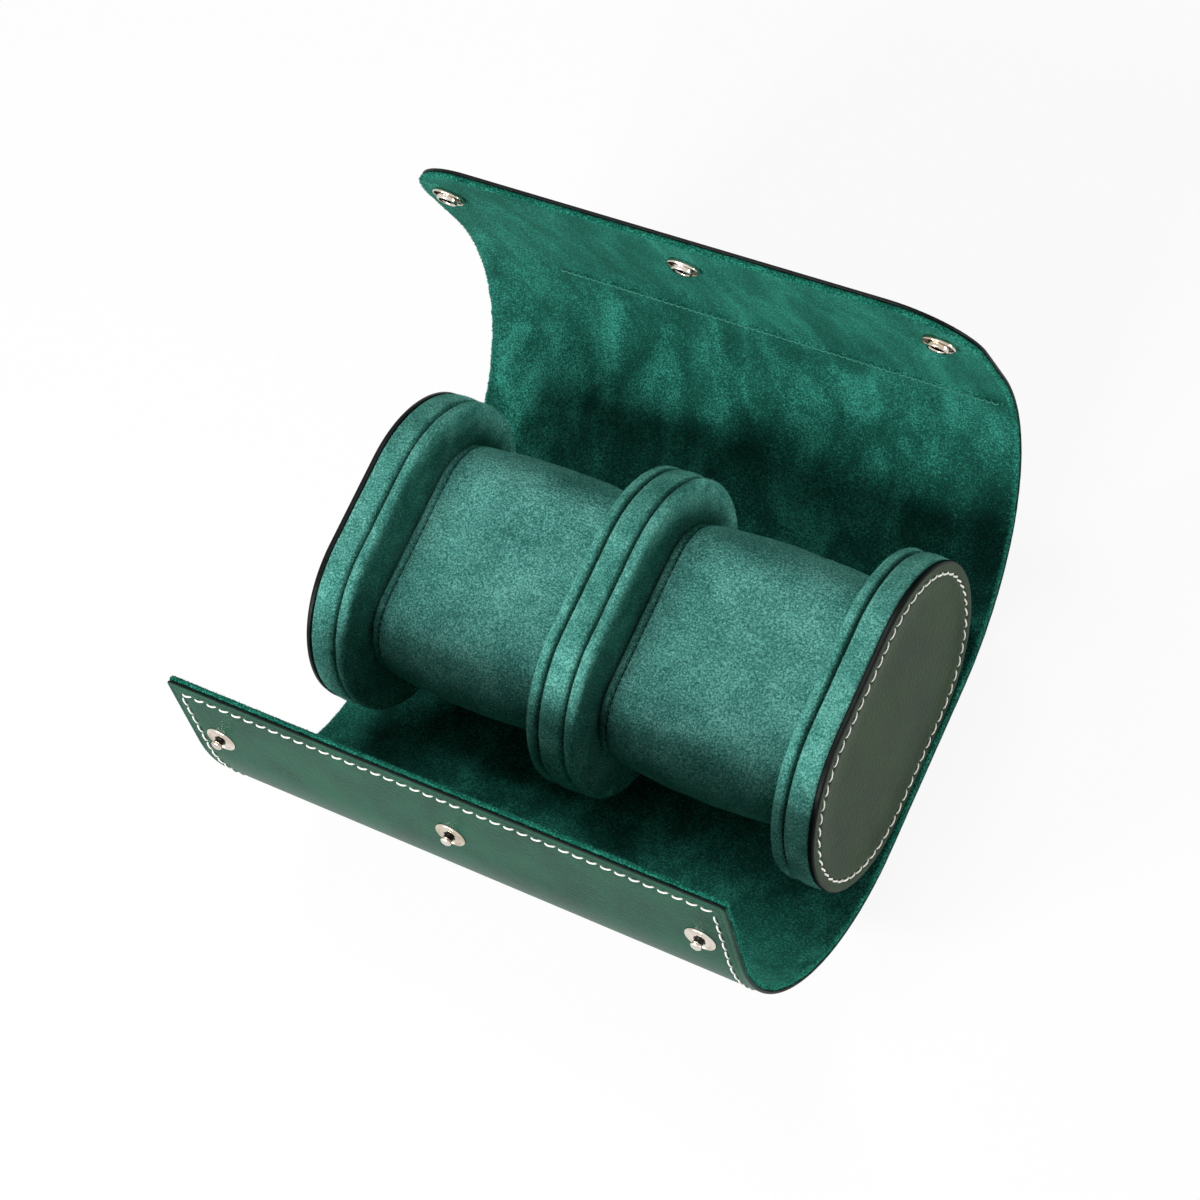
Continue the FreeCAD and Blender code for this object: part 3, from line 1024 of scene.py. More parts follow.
class FuzzTree(PieceTree):
    """Short fibres grown out of the input's faces."""

    NAME = "suede_fuzz"
    INPUTS = {**dict.fromkeys(("Density", "Length", "Width", "Lean"), "Float"), "Seed": "Int"}
    FIBRE_SIDES = 3
    SMALLEST = 0.5
    LARGEST = 1.2
    SIZE_SEED = 3
    LEAN_SEED = 4

    def placed(self, given: bpy.types.NodeOutputs) -> bpy.types.NodeSocket:
        """Scatter points on the faces and grow a leaning fibre on each.

        Args:
            given: the tree's inputs.

        Returns:
            The placed fibres.
        """
        tree = self.tree
        rooted = add_node(
            tree, "GeometryNodeDistributePointsOnFaces", {"distribute_method": "RANDOM"},
            {"Mesh": given["Geometry"], "Density": given["Density"], "Seed": given["Seed"]},
        )
        radius = add_node(
            tree, "ShaderNodeMath", {"operation": "MULTIPLY"}, {0: given["Width"], 1: 0.5}
        )
        fibre = add_node(
            tree, "GeometryNodeMeshCone", {"fill_type": "NGON"},
            {
                "Vertices": self.FIBRE_SIDES,
                "Radius Top": 0.0,
                "Radius Bottom": radius.outputs["Value"],
                "Depth": given["Length"],
            },
        )
        size = add_node(
            tree, "FunctionNodeRandomValue", {"data_type": "FLOAT"},
            {2: self.SMALLEST, 3: self.LARGEST, "Seed": self.SIZE_SEED},
        )
        standing = add_node(
            tree, "GeometryNodeInstanceOnPoints",
            inputs={
                "Points": rooted.outputs["Points"],
                "Instance": fibre.outputs["Mesh"],
                "Rotation": rooted.outputs["Rotation"],
                "Scale": size.outputs[1],
            },
        )
        less = add_node(tree, "ShaderNodeMath", {"operation": "MULTIPLY"}, {0: given["Lean"], 1: -1.0})
        low = add_node(
            tree, "ShaderNodeCombineXYZ",
            inputs={"X": less.outputs["Value"], "Y": less.outputs["Value"]},
        )
        high = add_node(
            tree, "ShaderNodeCombineXYZ",
            inputs={"X": given["Lean"], "Y": given["Lean"], "Z": 2 * math.pi},
        )
        lean = add_node(
            tree, "FunctionNodeRandomValue", {"data_type": "FLOAT_VECTOR"},
            {0: low.outputs["Vector"], 1: high.outputs["Vector"], "Seed": self.LEAN_SEED},
        )
        leaning = add_node(
            tree, "GeometryNodeRotateInstances",
            inputs={"Instances": standing.outputs["Instances"], "Rotation": lean.outputs[0]},
        )
        return leaning.outputs["Instances"]


@dataclass
class Fuzz:
    """Short fibres that stand out of brushed suede, drawn thicker and fewer than real to show."""

    finish: Suede
    per_square_mm: float = 5.0
    length: float = 0.5 * MM
    width: float = 0.16 * MM
    lean: float = math.radians(40.0)

    def grow(self, tree: FuzzTree, name: str, beds: Sequence[Bed], seed: int) -> bpy.types.Object:
        """Grow fibres on strips of a surface.

        Args:
            tree: the tree that makes the fibres.
            name: the piece's name.
            beds: for each strip, its grid of points and the outward way at its middle.
            seed: the seed of the fibres' places.

        Returns:
            The fibres as one plain mesh object.
        """
        shell = Shell()
        for points, out in beds:
            row, column = points.shape[0] // 2, points.shape[1] // 2
            here = points[row, column]
            normal = np.cross(points[row, column - 1] - here, points[row - 1, column] - here)
            ordered = points if np.dot(normal, out) > 0 else points[::-1]
            shell.add_grid(shell.add_points(ordered))
        mesh = bpy.data.meshes.new(f"{name}_bed")
        mesh.from_pydata(np.concatenate(shell.points), [], shell.faces)
        values = {
            "Density": self.per_square_mm / MM ** 2,
            "Length": self.length,
            "Width": self.width,
            "Lean": self.lean,
            "Seed": seed,
            "Material": self.finish.material(),
        }
        return tree.run(link(f"{name}_guide", mesh), values, name)


EDGE_FUZZ = Fuzz(EDGE_SUEDE)
RIM_FUZZ = Fuzz(
    RIM_SUEDE, per_square_mm=3.0, length=0.38 * MM, width=0.14 * MM, lean=math.radians(50.0)
)
EDGE_STITCH = Stitching(WHITE_THREAD)
# Near-black stitches in the spool's and pillows' seam grooves: real stitches, darkened as painted shade
# of the grooves.
SEAM_STITCH = Stitching(
    GROOVE_SHADE_THREAD, pitch=2.4 * MM, length=1.7 * MM, width=0.45 * MM,
    arch=0.35 * MM, sink=-0.15 * MM, slant=0.0,
)
# A light thread along the flap seam's ridge: a painted highlight.
FLAP_RIDGE_HIGHLIGHT = Stitching(
    RIDGE_HIGHLIGHT_THREAD, pitch=2.2 * MM, length=1.8 * MM, width=0.45 * MM,
    arch=0.5 * MM, sink=-0.2 * MM, slant=0.0,
)
# A continuous dark line in the flap seam's groove: a painted shadow under the ridge, drawn as thread.
FLAP_PAINTED_SHADOW = Stitching(
    GROOVE_SHADE_THREAD, pitch=2.0 * MM, length=2.4 * MM, width=0.7 * MM,
    arch=0.15 * MM, sink=0.0, slant=0.0,
)


@dataclass
class Wrap:
    """The wrap: leather outside, suede over padding inside, curving across its folds."""

    section: WrapSection
    stitches: StitchTree
    fuzz: FuzzTree
    half_width: float = 96.0 * MM
    leather_thick: float = 1.1 * MM
    glue_line: float = 0.05 * MM
    step: float = 1.8 * MM
    crease_in: float = 1.7 * MM
    crease_wide: float = 0.4 * MM
    crease_deep: float = 0.16 * MM
    stitch_in: float = 4.2 * MM
    stitch_pull: float = 0.14 * MM
    seam_in: float = 61.0 * MM
    seam_start: float = 36.0 * MM
    seam_stop: float = 5.0 * MM
    seam_wide: float = 0.6 * MM
    seam_tall: float = 0.7 * MM
    seam_fade: float = 8.0 * MM
    seam_from_edge: float = 1.0 * MM
    seam_edge_fade: float = 4.0 * MM
    ripple_tall: float = 0.55 * MM
    ripple_low: float = 66.0 * MM
    ripple_rise: float = 22.0 * MM
    ripple_fall: float = 9.0 * MM
    ripple_upright: float = 0.25
    ruffle_share: float = 0.4
    ruffle_rise: float = 12.0 * MM
    calm_from_edge: float = 2.0 * MM
    calm_fade: float = 16.0 * MM
    edge_rounds: int = 6
    edge_steps_mm: Sequence[float] = (0.0, 0.3, 0.6, 0.9, 1.2, 1.6, 2.1, 2.7, 3.4, 4.2, 5.0)
    edge_clear: float = 6.5 * MM
    least_step: float = 0.1 * MM
    end_slack: float = 2.0 * MM
    corner_steps: int = 16
    seam_steps: int = 17
    seam_reach: Point = (-4.0, 2.0)
    front_points: int = 90
    back_points: int = 60
    bend_points: int = 24
    strip_points: int = 30
    side_points: int = 40
    seam_points: int = 80
    leather_wander: float = 0.02 * MM
    lining_wander: float = 0.15 * MM
    fuzz_seed: int = 51
    wrinkle: SoftNoise = field(default_factory=lambda: SoftNoise(size=26.0 * MM, seed=11))
    ruffle: SoftNoise = field(default_factory=lambda: SoftNoise(size=40.0 * MM, seed=12))

    def __post_init__(self) -> None:
        """Work out the outline, the two layers and the stretches."""
        section = self.section
        self.cut = WrapCut(self.half_width, section.front_end, section.back_end)
        split = section.thick - self.leather_thick
        self.leather = Layer(
            "leather", split, section.thick, (WRAP_LEATHER, BLACK_EDGE), (1, 0),
            self.leather_relief, self.leather_wander,
        )
        self.lining = Layer(
            "lining", 0.0, split - self.glue_line, (LINING_SUEDE, EDGE_SUEDE), (1, 1),
            self.lining_relief, self.lining_wander,
        )
        self.stretches = self.make_stretches()

    @property
    def seam_at(self) -> float:
        """The place along the wrap of the back flap's seam."""
        return self.section.back_end - self.seam_in

    def make_stretches(self) -> list[Stretch]:
        """Lay out the stretches between the middles of neighbouring panels.

        Returns:
            The stretches, those of the front first, from the base outwards.
        """
        section = self.section
        sides = {
            Side.FRONT: (
                [0.0, section.front_fold, section.front_sweep],
                ["base", "front_low", "front_high", "front_strip"],
                section.front_end,
            ),
            Side.BACK: (
                [0.0, section.back_low_fold, section.back_high_fold, section.back_sweep],
                ["base", "back_low", "back_middle", "back_high", "back_strip"],
                section.back_end,
            ),
        }
        stretches = []
        for side, (angles, bodies, end) in sides.items():
            folds = [section.fold(side, angle) for angle in angles]
            middles = [(a + b) / 2 for a, b in zip(folds, folds[1:])]
            bounds = [0.0, *middles, end]
            for at, fold in enumerate(folds):
                far = bodies[at + 1]
                nodes = [far] if at or side is Side.BACK else ["base", far]
                stretches.append(
                    Stretch(far, bounds[at], bounds[at + 1], fold, bodies[at], far, nodes)
                )
        return stretches

    def leather_relief(self, x: np.ndarray, along: np.ndarray) -> tuple[np.ndarray, np.ndarray]:
        """Press a crease near the leather's edge and draw it in under the stitches.

        Args:
            x: places across the wrap.
            along: places along it.

        Returns:
            How far the layer's upper and lower faces sink.
        """
        edge = self.cut.from_edge(x, along)
        crease = self.crease_deep * np.exp(-((edge - self.crease_in) / self.crease_wide) ** 2)
        pull = self.stitch_pull * np.exp(-((edge - self.stitch_in) / (2 * self.crease_wide)) ** 2)
        return np.zeros_like(edge), -(crease + pull)

    def lining_relief(self, x: np.ndarray, along: np.ndarray) -> tuple[np.ndarray, np.ndarray]:
        """Ripple the lining on the back flap and raise the seam there.

        Args:
            x: places across the wrap.
            along: places along it.

        Returns:
            How far the layer's upper and lower faces sink.
        """
        edge = self.cut.from_edge(x, along)
        past_seam = along - self.seam_at
        upright = np.stack([x.ravel(), along.ravel() * self.ripple_upright], axis=-1)
        loose = np.stack([x.ravel(), along.ravel()], axis=-1)
        below = np.clip((along - self.ripple_low) / self.ripple_rise, 0, 1)
        below *= np.clip(-past_seam / self.ripple_fall, 0, 1)
        above = np.clip(past_seam / self.ruffle_rise, 0, 1)
        calm = np.clip((edge - self.calm_from_edge) / self.calm_fade, 0, 1)
        ripples = self.wrinkle.at(upright).reshape(x.shape) * below
        ripples += self.ruffle_share * self.ruffle.at(loose).reshape(x.shape) * above
        lift = self.ripple_tall * ripples * calm
        seam_run = np.clip((x + self.half_width - self.seam_start) / self.seam_fade, 0, 1)
        seam_run *= np.clip((edge - self.seam_from_edge) / self.seam_edge_fade, 0, 1)
        ridge = np.exp(-(past_seam / self.seam_wide) ** 2)
        groove = np.exp(-((past_seam + 2 * self.seam_wide) / self.seam_wide) ** 2)
        seam = self.seam_tall * (ridge - groove) * seam_run
        return -lift - seam, np.zeros_like(edge)

    def rows(self, stretch: Stretch, half: float) -> np.ndarray:
        """Space the rows of a stretch, closer at a free edge and at the seam.

        Args:
            stretch: the stretch.
            half: half the layer's thickness.

        Returns:
            The rows' places along the wrap.
        """
        low, high = sorted((stretch.start, stretch.end))
        count = max(2, round((high - low) / self.step))
        places = list(np.linspace(low, high, count + 1))
        steps = np.array(self.edge_steps_mm) * MM
        if low < self.seam_at < high:
            near_seam = np.linspace(*self.seam_reach, self.seam_steps) * self.seam_wide
            places += list(self.seam_at + near_seam)
        for end, way, corner in (
            (self.section.front_end, 1, self.cut.front_corner),
            (self.section.back_end, -1, self.cut.back_corner),
        ):
            if not low - MM < end < high + MM:
                continue
            turn = np.linspace(0, math.pi / 2, self.corner_steps)
            bent = end + way * (corner - (corner - half) * np.sin(turn))
            near = end + way * (half + steps)
            places = [at for at in places if way * (at - end) > steps[-1]]
            places += [*bent, *near]
        kept: list[float] = []
        for at in sorted(places):
            if not kept or at - kept[-1] > self.least_step:
                kept.append(at)
        return np.array(kept)

    def columns(self) -> np.ndarray:
        """Space the columns across the wrap, closer together at the edges.

        Returns:
            Their places as shares of the half width.
        """
        near = np.array(self.edge_steps_mm) * MM / self.half_width
        count = round(2 * (self.half_width - self.edge_clear) / self.step)
        reach = 1 - self.edge_clear / self.half_width
        middle = np.linspace(-reach, reach, count + 1)
        return np.concatenate([-1 + near, middle, (1 - near)[::-1]])

    def place(self, x: np.ndarray, along: np.ndarray, depth: np.ndarray) -> np.ndarray:
        """Points of the wrap in the shared frame."""
        flat = self.section.at(along, depth)[0]
        return np.concatenate([x[..., None], flat], axis=-1)

    def panel(self, layer: Layer, stretch: Stretch) -> tuple[bpy.types.Object, list[Bed]]:
        """Build one layer of one stretch as a closed sheet with half-round edges.

        Args:
            layer: the layer.
            stretch: the stretch.

        Returns:
            The new object, and its edges as beds for fuzz.
        """
        rows = self.rows(stretch, layer.half)
        columns = self.columns()
        half_widths = self.cut.half_at(rows, layer.half)
        x = half_widths[:, None] * columns[None, :]
        along = np.repeat(rows[:, None], len(columns), axis=1)
        sink_top, sink_bottom = layer.relief(x, along)
        shell = Shell()
        top = shell.add_points(self.place(x, along, layer.top + sink_top))
        bottom = shell.add_points(self.place(x, along, layer.bottom + sink_bottom))
        shell.add_grid(top)
        shell.add_grid(bottom[:, ::-1])
        front_free = abs(rows[0] - self.section.front_end) < self.end_slack
        back_free = abs(rows[-1] - self.section.back_end) < self.end_slack
        beds = []
        for chain in self.edge_chains(len(rows), len(columns), front_free, back_free):
            beds.append(self.round_edge(shell, layer, chain, (x, along), (top, bottom)))
        for row, free in ((0, front_free), (-1, back_free)):
            if not free:
                shell.add_grid(np.stack([top[row], bottom[row]]))
        return shell.build(f"{layer.name}_{stretch.name}", layer.finishes), beds

    @staticmethod
    def edge_chains(
        row_count: int, column_count: int, front_free: bool, back_free: bool
    ) -> list[list[tuple[int, int]]]:
        """The runs of grid points along the free edges.

        Args:
            row_count: the grid's rows.
            column_count: the grid's columns.
            front_free: whether the first row is a free edge.
            back_free: whether the last row is a free edge.

        Returns:
            Each run as row and column numbers.
        """
        last = column_count - 1
        right = [(row, last) for row in range(row_count)]
        left = [(row, 0) for row in range(row_count)]
        if back_free:
            end = [(row_count - 1, column) for column in range(last - 1, 0, -1)]
            return [right + end + left[::-1]]
        if front_free:
            end = [(0, column) for column in range(last - 1, 0, -1)]
            return [right[::-1] + end + left]
        return [right, left]

    def outward(self, x: np.ndarray, along: np.ndarray, inset: float) -> np.ndarray:
        """Find the outline's outward way at points of its drawn-in edge.

        Args:
            x: places across the wrap.
            along: places along it.
            inset: how far the edge is drawn in.

        Returns:
            The way across and along at each point.
        """
        radius, past = self.cut.corner(along)
        way = np.where(along < 0, -1.0, 1.0)
        beside = np.abs(x) - (self.half_width - radius)
        reach = np.maximum(radius - inset, TINY)
        turned = np.clip(np.maximum(past, 0) / reach, 0, 1)
        on_end = beside < -ON_EDGE
        across = np.where(on_end, 0.0, np.sign(x) * np.sqrt(1 - turned ** 2))
        lengthways = np.where(on_end, 1.0, turned)
        return np.stack([across, way * lengthways], axis=-1)

    def round_edge(
        self,
        shell: Shell,
        layer: Layer,
        chain: list[tuple[int, int]],
        grid: tuple[np.ndarray, np.ndarray],
        faces: tuple[np.ndarray, np.ndarray],
    ) -> Bed:
        """Close a layer along one free edge with a half-round bead.

        Args:
            shell: the mesh in the making.
            layer: the layer.
            chain: row and column numbers along the edge.
            grid: the grid's places across and along.
            faces: the point numbers of the layer's two faces.

        Returns:
            The bead's points as a bed for fuzz.
        """
        at = tuple(np.array(chain).T)
        x, along = grid[0][at], grid[1][at]
        way = self.outward(x, along, layer.half)
        _, tangent, normal = self.section.at(along, np.zeros_like(along))
        middle = self.place(x, along, np.full_like(along, layer.top + layer.half))
        out = np.concatenate([way[:, :1], way[:, 1:] * tangent], axis=-1)
        inwards = np.concatenate([np.zeros((len(x), 1)), normal], axis=-1)
        fuzz = np.random.default_rng(len(chain)).normal(0, layer.edge_fuzz, (self.edge_rounds, len(x)))
        bead = []
        for step in range(1, self.edge_rounds + 1):
            turn = math.pi * step / (self.edge_rounds + 1)
            reach = layer.half + fuzz[step - 1][:, None]
            bead.append(middle + out * math.sin(turn) * reach + inwards * math.cos(turn) * layer.half)
        rings = [faces[0][at], *[shell.add_points(ring) for ring in bead], faces[1][at]]
        band = np.stack(rings)
        turn_over = self.edge_rounds - 1
        shell.add_grid(band[:turn_over + 1], slot=layer.edge_slots[0])
        shell.add_grid(band[turn_over:], slot=layer.edge_slots[1])
        for end in (0, -1):
            shell.add_face(band[:, end], slot=layer.edge_slots[0])
        return np.stack(bead), out[len(out) // 2]

    def stitch_lines(self, stretch: Stretch) -> list[StitchLine]:
        """Lay out the stitches on the leather, down both sides and along a free edge.

        Args:
            stretch: the stretch.

        Returns:
            The lines, with the leather's normals.
        """
        pitch = EDGE_STITCH.pitch
        low, high = sorted((stretch.start, stretch.end))
        inset = self.stitch_in
        x_side = self.half_width - inset
        runs = []
        if abs(low - self.section.front_end) < MM:
            end = low + inset
            low = end + pitch / 2
            across = np.linspace(-x_side + pitch / 2, x_side - pitch / 2, self.front_points)
            runs.append(np.stack(np.broadcast_arrays(across, end), axis=-1))
        if abs(high - self.section.back_end) < MM:
            corner = self.cut.back_corner
            centre = high - corner
            radius = corner - inset
            turn = np.linspace(0, math.pi / 2, self.bend_points)
            x_bend = self.half_width - corner + radius * np.cos(turn)
            bend = np.stack([x_bend, centre + radius * np.sin(turn)], axis=-1)
            sides = np.linspace(low + pitch / 2, centre, self.strip_points, endpoint=False)
            right = np.concatenate([np.stack(np.broadcast_arrays(x_side, sides), axis=-1), bend])
            left = (right * np.array([-1, 1]))[::-1]
            middle = np.linspace(right[-1], left[0], self.back_points)[1:-1]
            runs.append(np.concatenate([right, middle, left]))
        else:
            sides = np.linspace(low + pitch / 2, high - pitch / 2, self.side_points)
            runs += [np.stack(np.broadcast_arrays(way * x_side, sides), axis=-1) for way in (-1, 1)]
        lines = []
        for run in runs:
            depth = np.full(len(run), self.section.thick - self.stitch_pull)
            points = self.place(run[:, 0], run[:, 1], depth)
            normal = self.section.at(run[:, 1], depth)[2]
            lines.append((points, -np.concatenate([np.zeros((len(run), 1)), normal], axis=-1)))
        return lines

    def flap_seam(self, stretch: Stretch) -> None:
        """Sew the seam on the back flap's lining: a dark line in its groove, which is a painted shadow,
        and a light thread on its ridge, which is a painted highlight.

        Args:
            stretch: the stretch that carries it.
        """
        left, right = -self.half_width + self.seam_start, self.half_width - self.seam_stop
        x = np.linspace(left, right, self.seam_points)
        lines = {
            # The dark line in the groove is a painted shadow.
            "painted_shadow": (FLAP_PAINTED_SHADOW, self.seam_at - 2 * self.seam_wide, 0.5 * self.seam_tall),
            # The light thread on the ridge is a painted highlight.
            "thread": (FLAP_RIDGE_HIGHLIGHT, self.seam_at, -self.seam_tall),
        }
        for name, (kind, place, sink) in lines.items():
            along = np.full_like(x, place)
            depth = np.full_like(x, sink)
            normal = self.section.at(along, depth)[2]
            facing = np.concatenate([np.zeros((len(x), 1)), normal], axis=-1)
            sewn = kind.sew(self.stitches, f"flap_seam_{name}", [(self.place(x, along, depth), facing)])
            stretch.blend(sewn, self.section)
            report(sewn)

    def build(self) -> None:
        """Build both layers and the stitches of every stretch, and bake each piece in place."""
        for seed, stretch in enumerate(self.stretches, start=self.fuzz_seed):
            leather, _ = self.panel(self.leather, stretch)
            lining, beds = self.panel(self.lining, stretch)
            lines = self.stitch_lines(stretch)
            sewn = EDGE_STITCH.sew(self.stitches, f"stitches_{stretch.name}", lines)
            fibres = EDGE_FUZZ.grow(self.fuzz, f"fuzz_{stretch.name}", beds, seed)
            for piece in (leather, lining, sewn, fibres):
                stretch.blend(piece, self.section)
                report(piece)
            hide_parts(*[f"{node}_leather" for node in stretch.nodes])
            soft = [f"{node}_{part}" for node in stretch.nodes for part in ("lining", "padding")]
            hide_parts(*soft)
        self.flap_seam(self.stretches[-1])


@dataclass
class RoundedOutline:
    """A rectangle with round corners across the roll, centred at a height above the base."""

    half_depth: float
    half_height: float
    radius: float
    centre_height: float
    spacing: float = 1.2 * MM
    least_bend: int = 8
    least_radius: float = 0.2 * MM

    def directions(self) -> tuple[np.ndarray, np.ndarray]:
        """Go round the outline.

        Returns:
            The corner centre and the outward way of each point, in order.
        """
        in_depth = self.half_depth - self.radius
        in_height = self.half_height - self.radius
        bend = max(self.least_bend, round(self.radius * math.pi / 2 / self.spacing))
        centres, ways = [], []
        corners = ((1, 1), (-1, 1), (-1, -1), (1, -1))
        for number, (across, up) in enumerate(corners):
            turn = math.pi / 2 * (number + np.linspace(0, 1, bend + 1))
            here = np.array([across * in_depth, up * in_height])
            next_across, next_up = corners[(number + 1) % 4]
            there = np.array([next_across * in_depth, next_up * in_height])
            run = max(1, round(float(np.abs(there - here).sum()) / self.spacing))
            share = np.arange(1, run)[:, None] / run
            centres += [np.repeat(here[None], bend + 1, axis=0), here + (there - here) * share]
            round_ways = np.stack([np.cos(turn), np.sin(turn)], axis=-1)
            ways += [round_ways, np.repeat(round_ways[-1:], run - 1, axis=0)]
        return np.concatenate(centres), np.concatenate(ways)

    def rings(self, profile: Profile) -> np.ndarray:
        """The outline repeated along the roll.

        Args:
            profile: pairs of a place along the roll and an inset from the outline.

        Returns:
            Points by ring and place round the outline.
        """
        centres, ways = self.directions()
        rings = []
        for x, inset in profile:
            flat = centres + ways * (self.radius - min(inset, self.radius - self.least_radius))
            ring = np.concatenate([np.full((len(flat), 1), x), flat], axis=-1)
            ring[:, 2] += self.centre_height
            rings.append(ring)
        return np.stack(rings)

    def swept(self, profile: Profile, slots: Optional[Sequence[int]] = None) -> Shell:
        """A closed shell from the outline swept along a profile, with flat ends.

        Args:
            profile: pairs of a place along the roll and an inset from the outline.
            slots: the material slot of each band between two pairs.

        Returns:
            The shell.
        """
        shell = Shell()
        numbers = shell.add_points(self.rings(profile))
        for band in range(len(profile) - 1):
            slot = slots[band] if slots else 0
            shell.add_grid(numbers[band:band + 2], slot=slot, closed=True)
        shell.add_face(numbers[0], slots[0] if slots else 0)
        shell.add_face(numbers[-1], slots[-1] if slots else 0)
        return shell

    def bed(self, profile: Profile, lowest: float = -0.5) -> Bed:
        """A bed for fuzz on the rings of a profile, left out where the outline looks down.

        Args:
            profile: pairs of a place along the roll and an inset from the outline.
            lowest: the least upward part of the outward way.

        Returns:
            The bed.
        """
        ups = self.directions()[1][:, 1]
        order = np.roll(np.arange(len(ups)), -int(np.argmin(ups)))
        points = self.rings(profile)[:, order[ups[order] > lowest]]
        crest = points[points.shape[0] // 2, points.shape[1] // 2]
        return points, crest - np.array([crest[0], 0.0, self.centre_height])

    def line(self, x: float, inset: float) -> np.ndarray:
        """The drawn-in outline at one place along the roll, as a closed line of points."""
        ring = self.rings([(x, inset)])[0]
        return np.concatenate([ring, ring[:1]])

    def normals(self, x: float) -> np.ndarray:
        """The outward ways at the points of a line round the outline."""
        return self.line(x, -1.0) - self.line(x, 0.0)


def quarter(foot: Point, crest: Point, steps: int) -> list[Point]:
    """Points of a quarter of an ellipse in a profile, steep at its foot and level at its crest.

    Args:
        foot: the place along the roll and the inset where it starts.
        crest: the place along the roll and the inset where it ends.
        steps: the number of steps.

    Returns:
        The points from foot to crest.
    """
    turns = np.linspace(0, math.pi / 2, steps + 1)
    return [
        (crest[0] + (foot[0] - crest[0]) * math.cos(t), foot[1] + (crest[1] - foot[1]) * math.sin(t))
        for t in turns
    ]


def arc(
    centre: Point, radius: float, start_deg: float, end_deg: float, steps: int
) -> list[Point]:
    """Points of an arc in a profile.

    Args:
        centre: the arc's centre, as a place along the roll and an inset.
        radius: the arc's radius.
        start_deg: the angle where it starts.
        end_deg: the angle where it ends.
        steps: the number of steps.

    Returns:
        The points from start to end.
    """
    turns = np.radians(np.linspace(start_deg, end_deg, steps + 1))
    return [(centre[0] + radius * math.cos(t), centre[1] + radius * math.sin(t)) for t in turns]


@dataclass(frozen=True)
class Unevenness:
    """The soft unevenness of stuffed cloth: broad swells with finer ones on them."""

    size: float
    tall: float
    fine_parts: int = 4
    fine_share: float = 0.35

    def give(self, shell: Shell, seed: int) -> None:
        """Move a shell's points in and out across the roll.

        Args:
            shell: the mesh in the making.
            seed: the seed of the swells.
        """
        broad = SoftNoise(self.size, seed)
        fine = SoftNoise(self.size / self.fine_parts, seed + 1)
        for number, points in enumerate(shell.points):
            shift = broad.at(points) + self.fine_share * fine.at(points)
            middle = np.array([points[:, 0].mean(), 0.0, points[:, 2].mean()])
            out = (points - middle) * np.array([0.0, 1.0, 1.0])
            out /= np.maximum(np.linalg.norm(out, axis=1), TINY)[:, None]
            shell.points[number] = points + out * (self.tall * shift)[:, None]


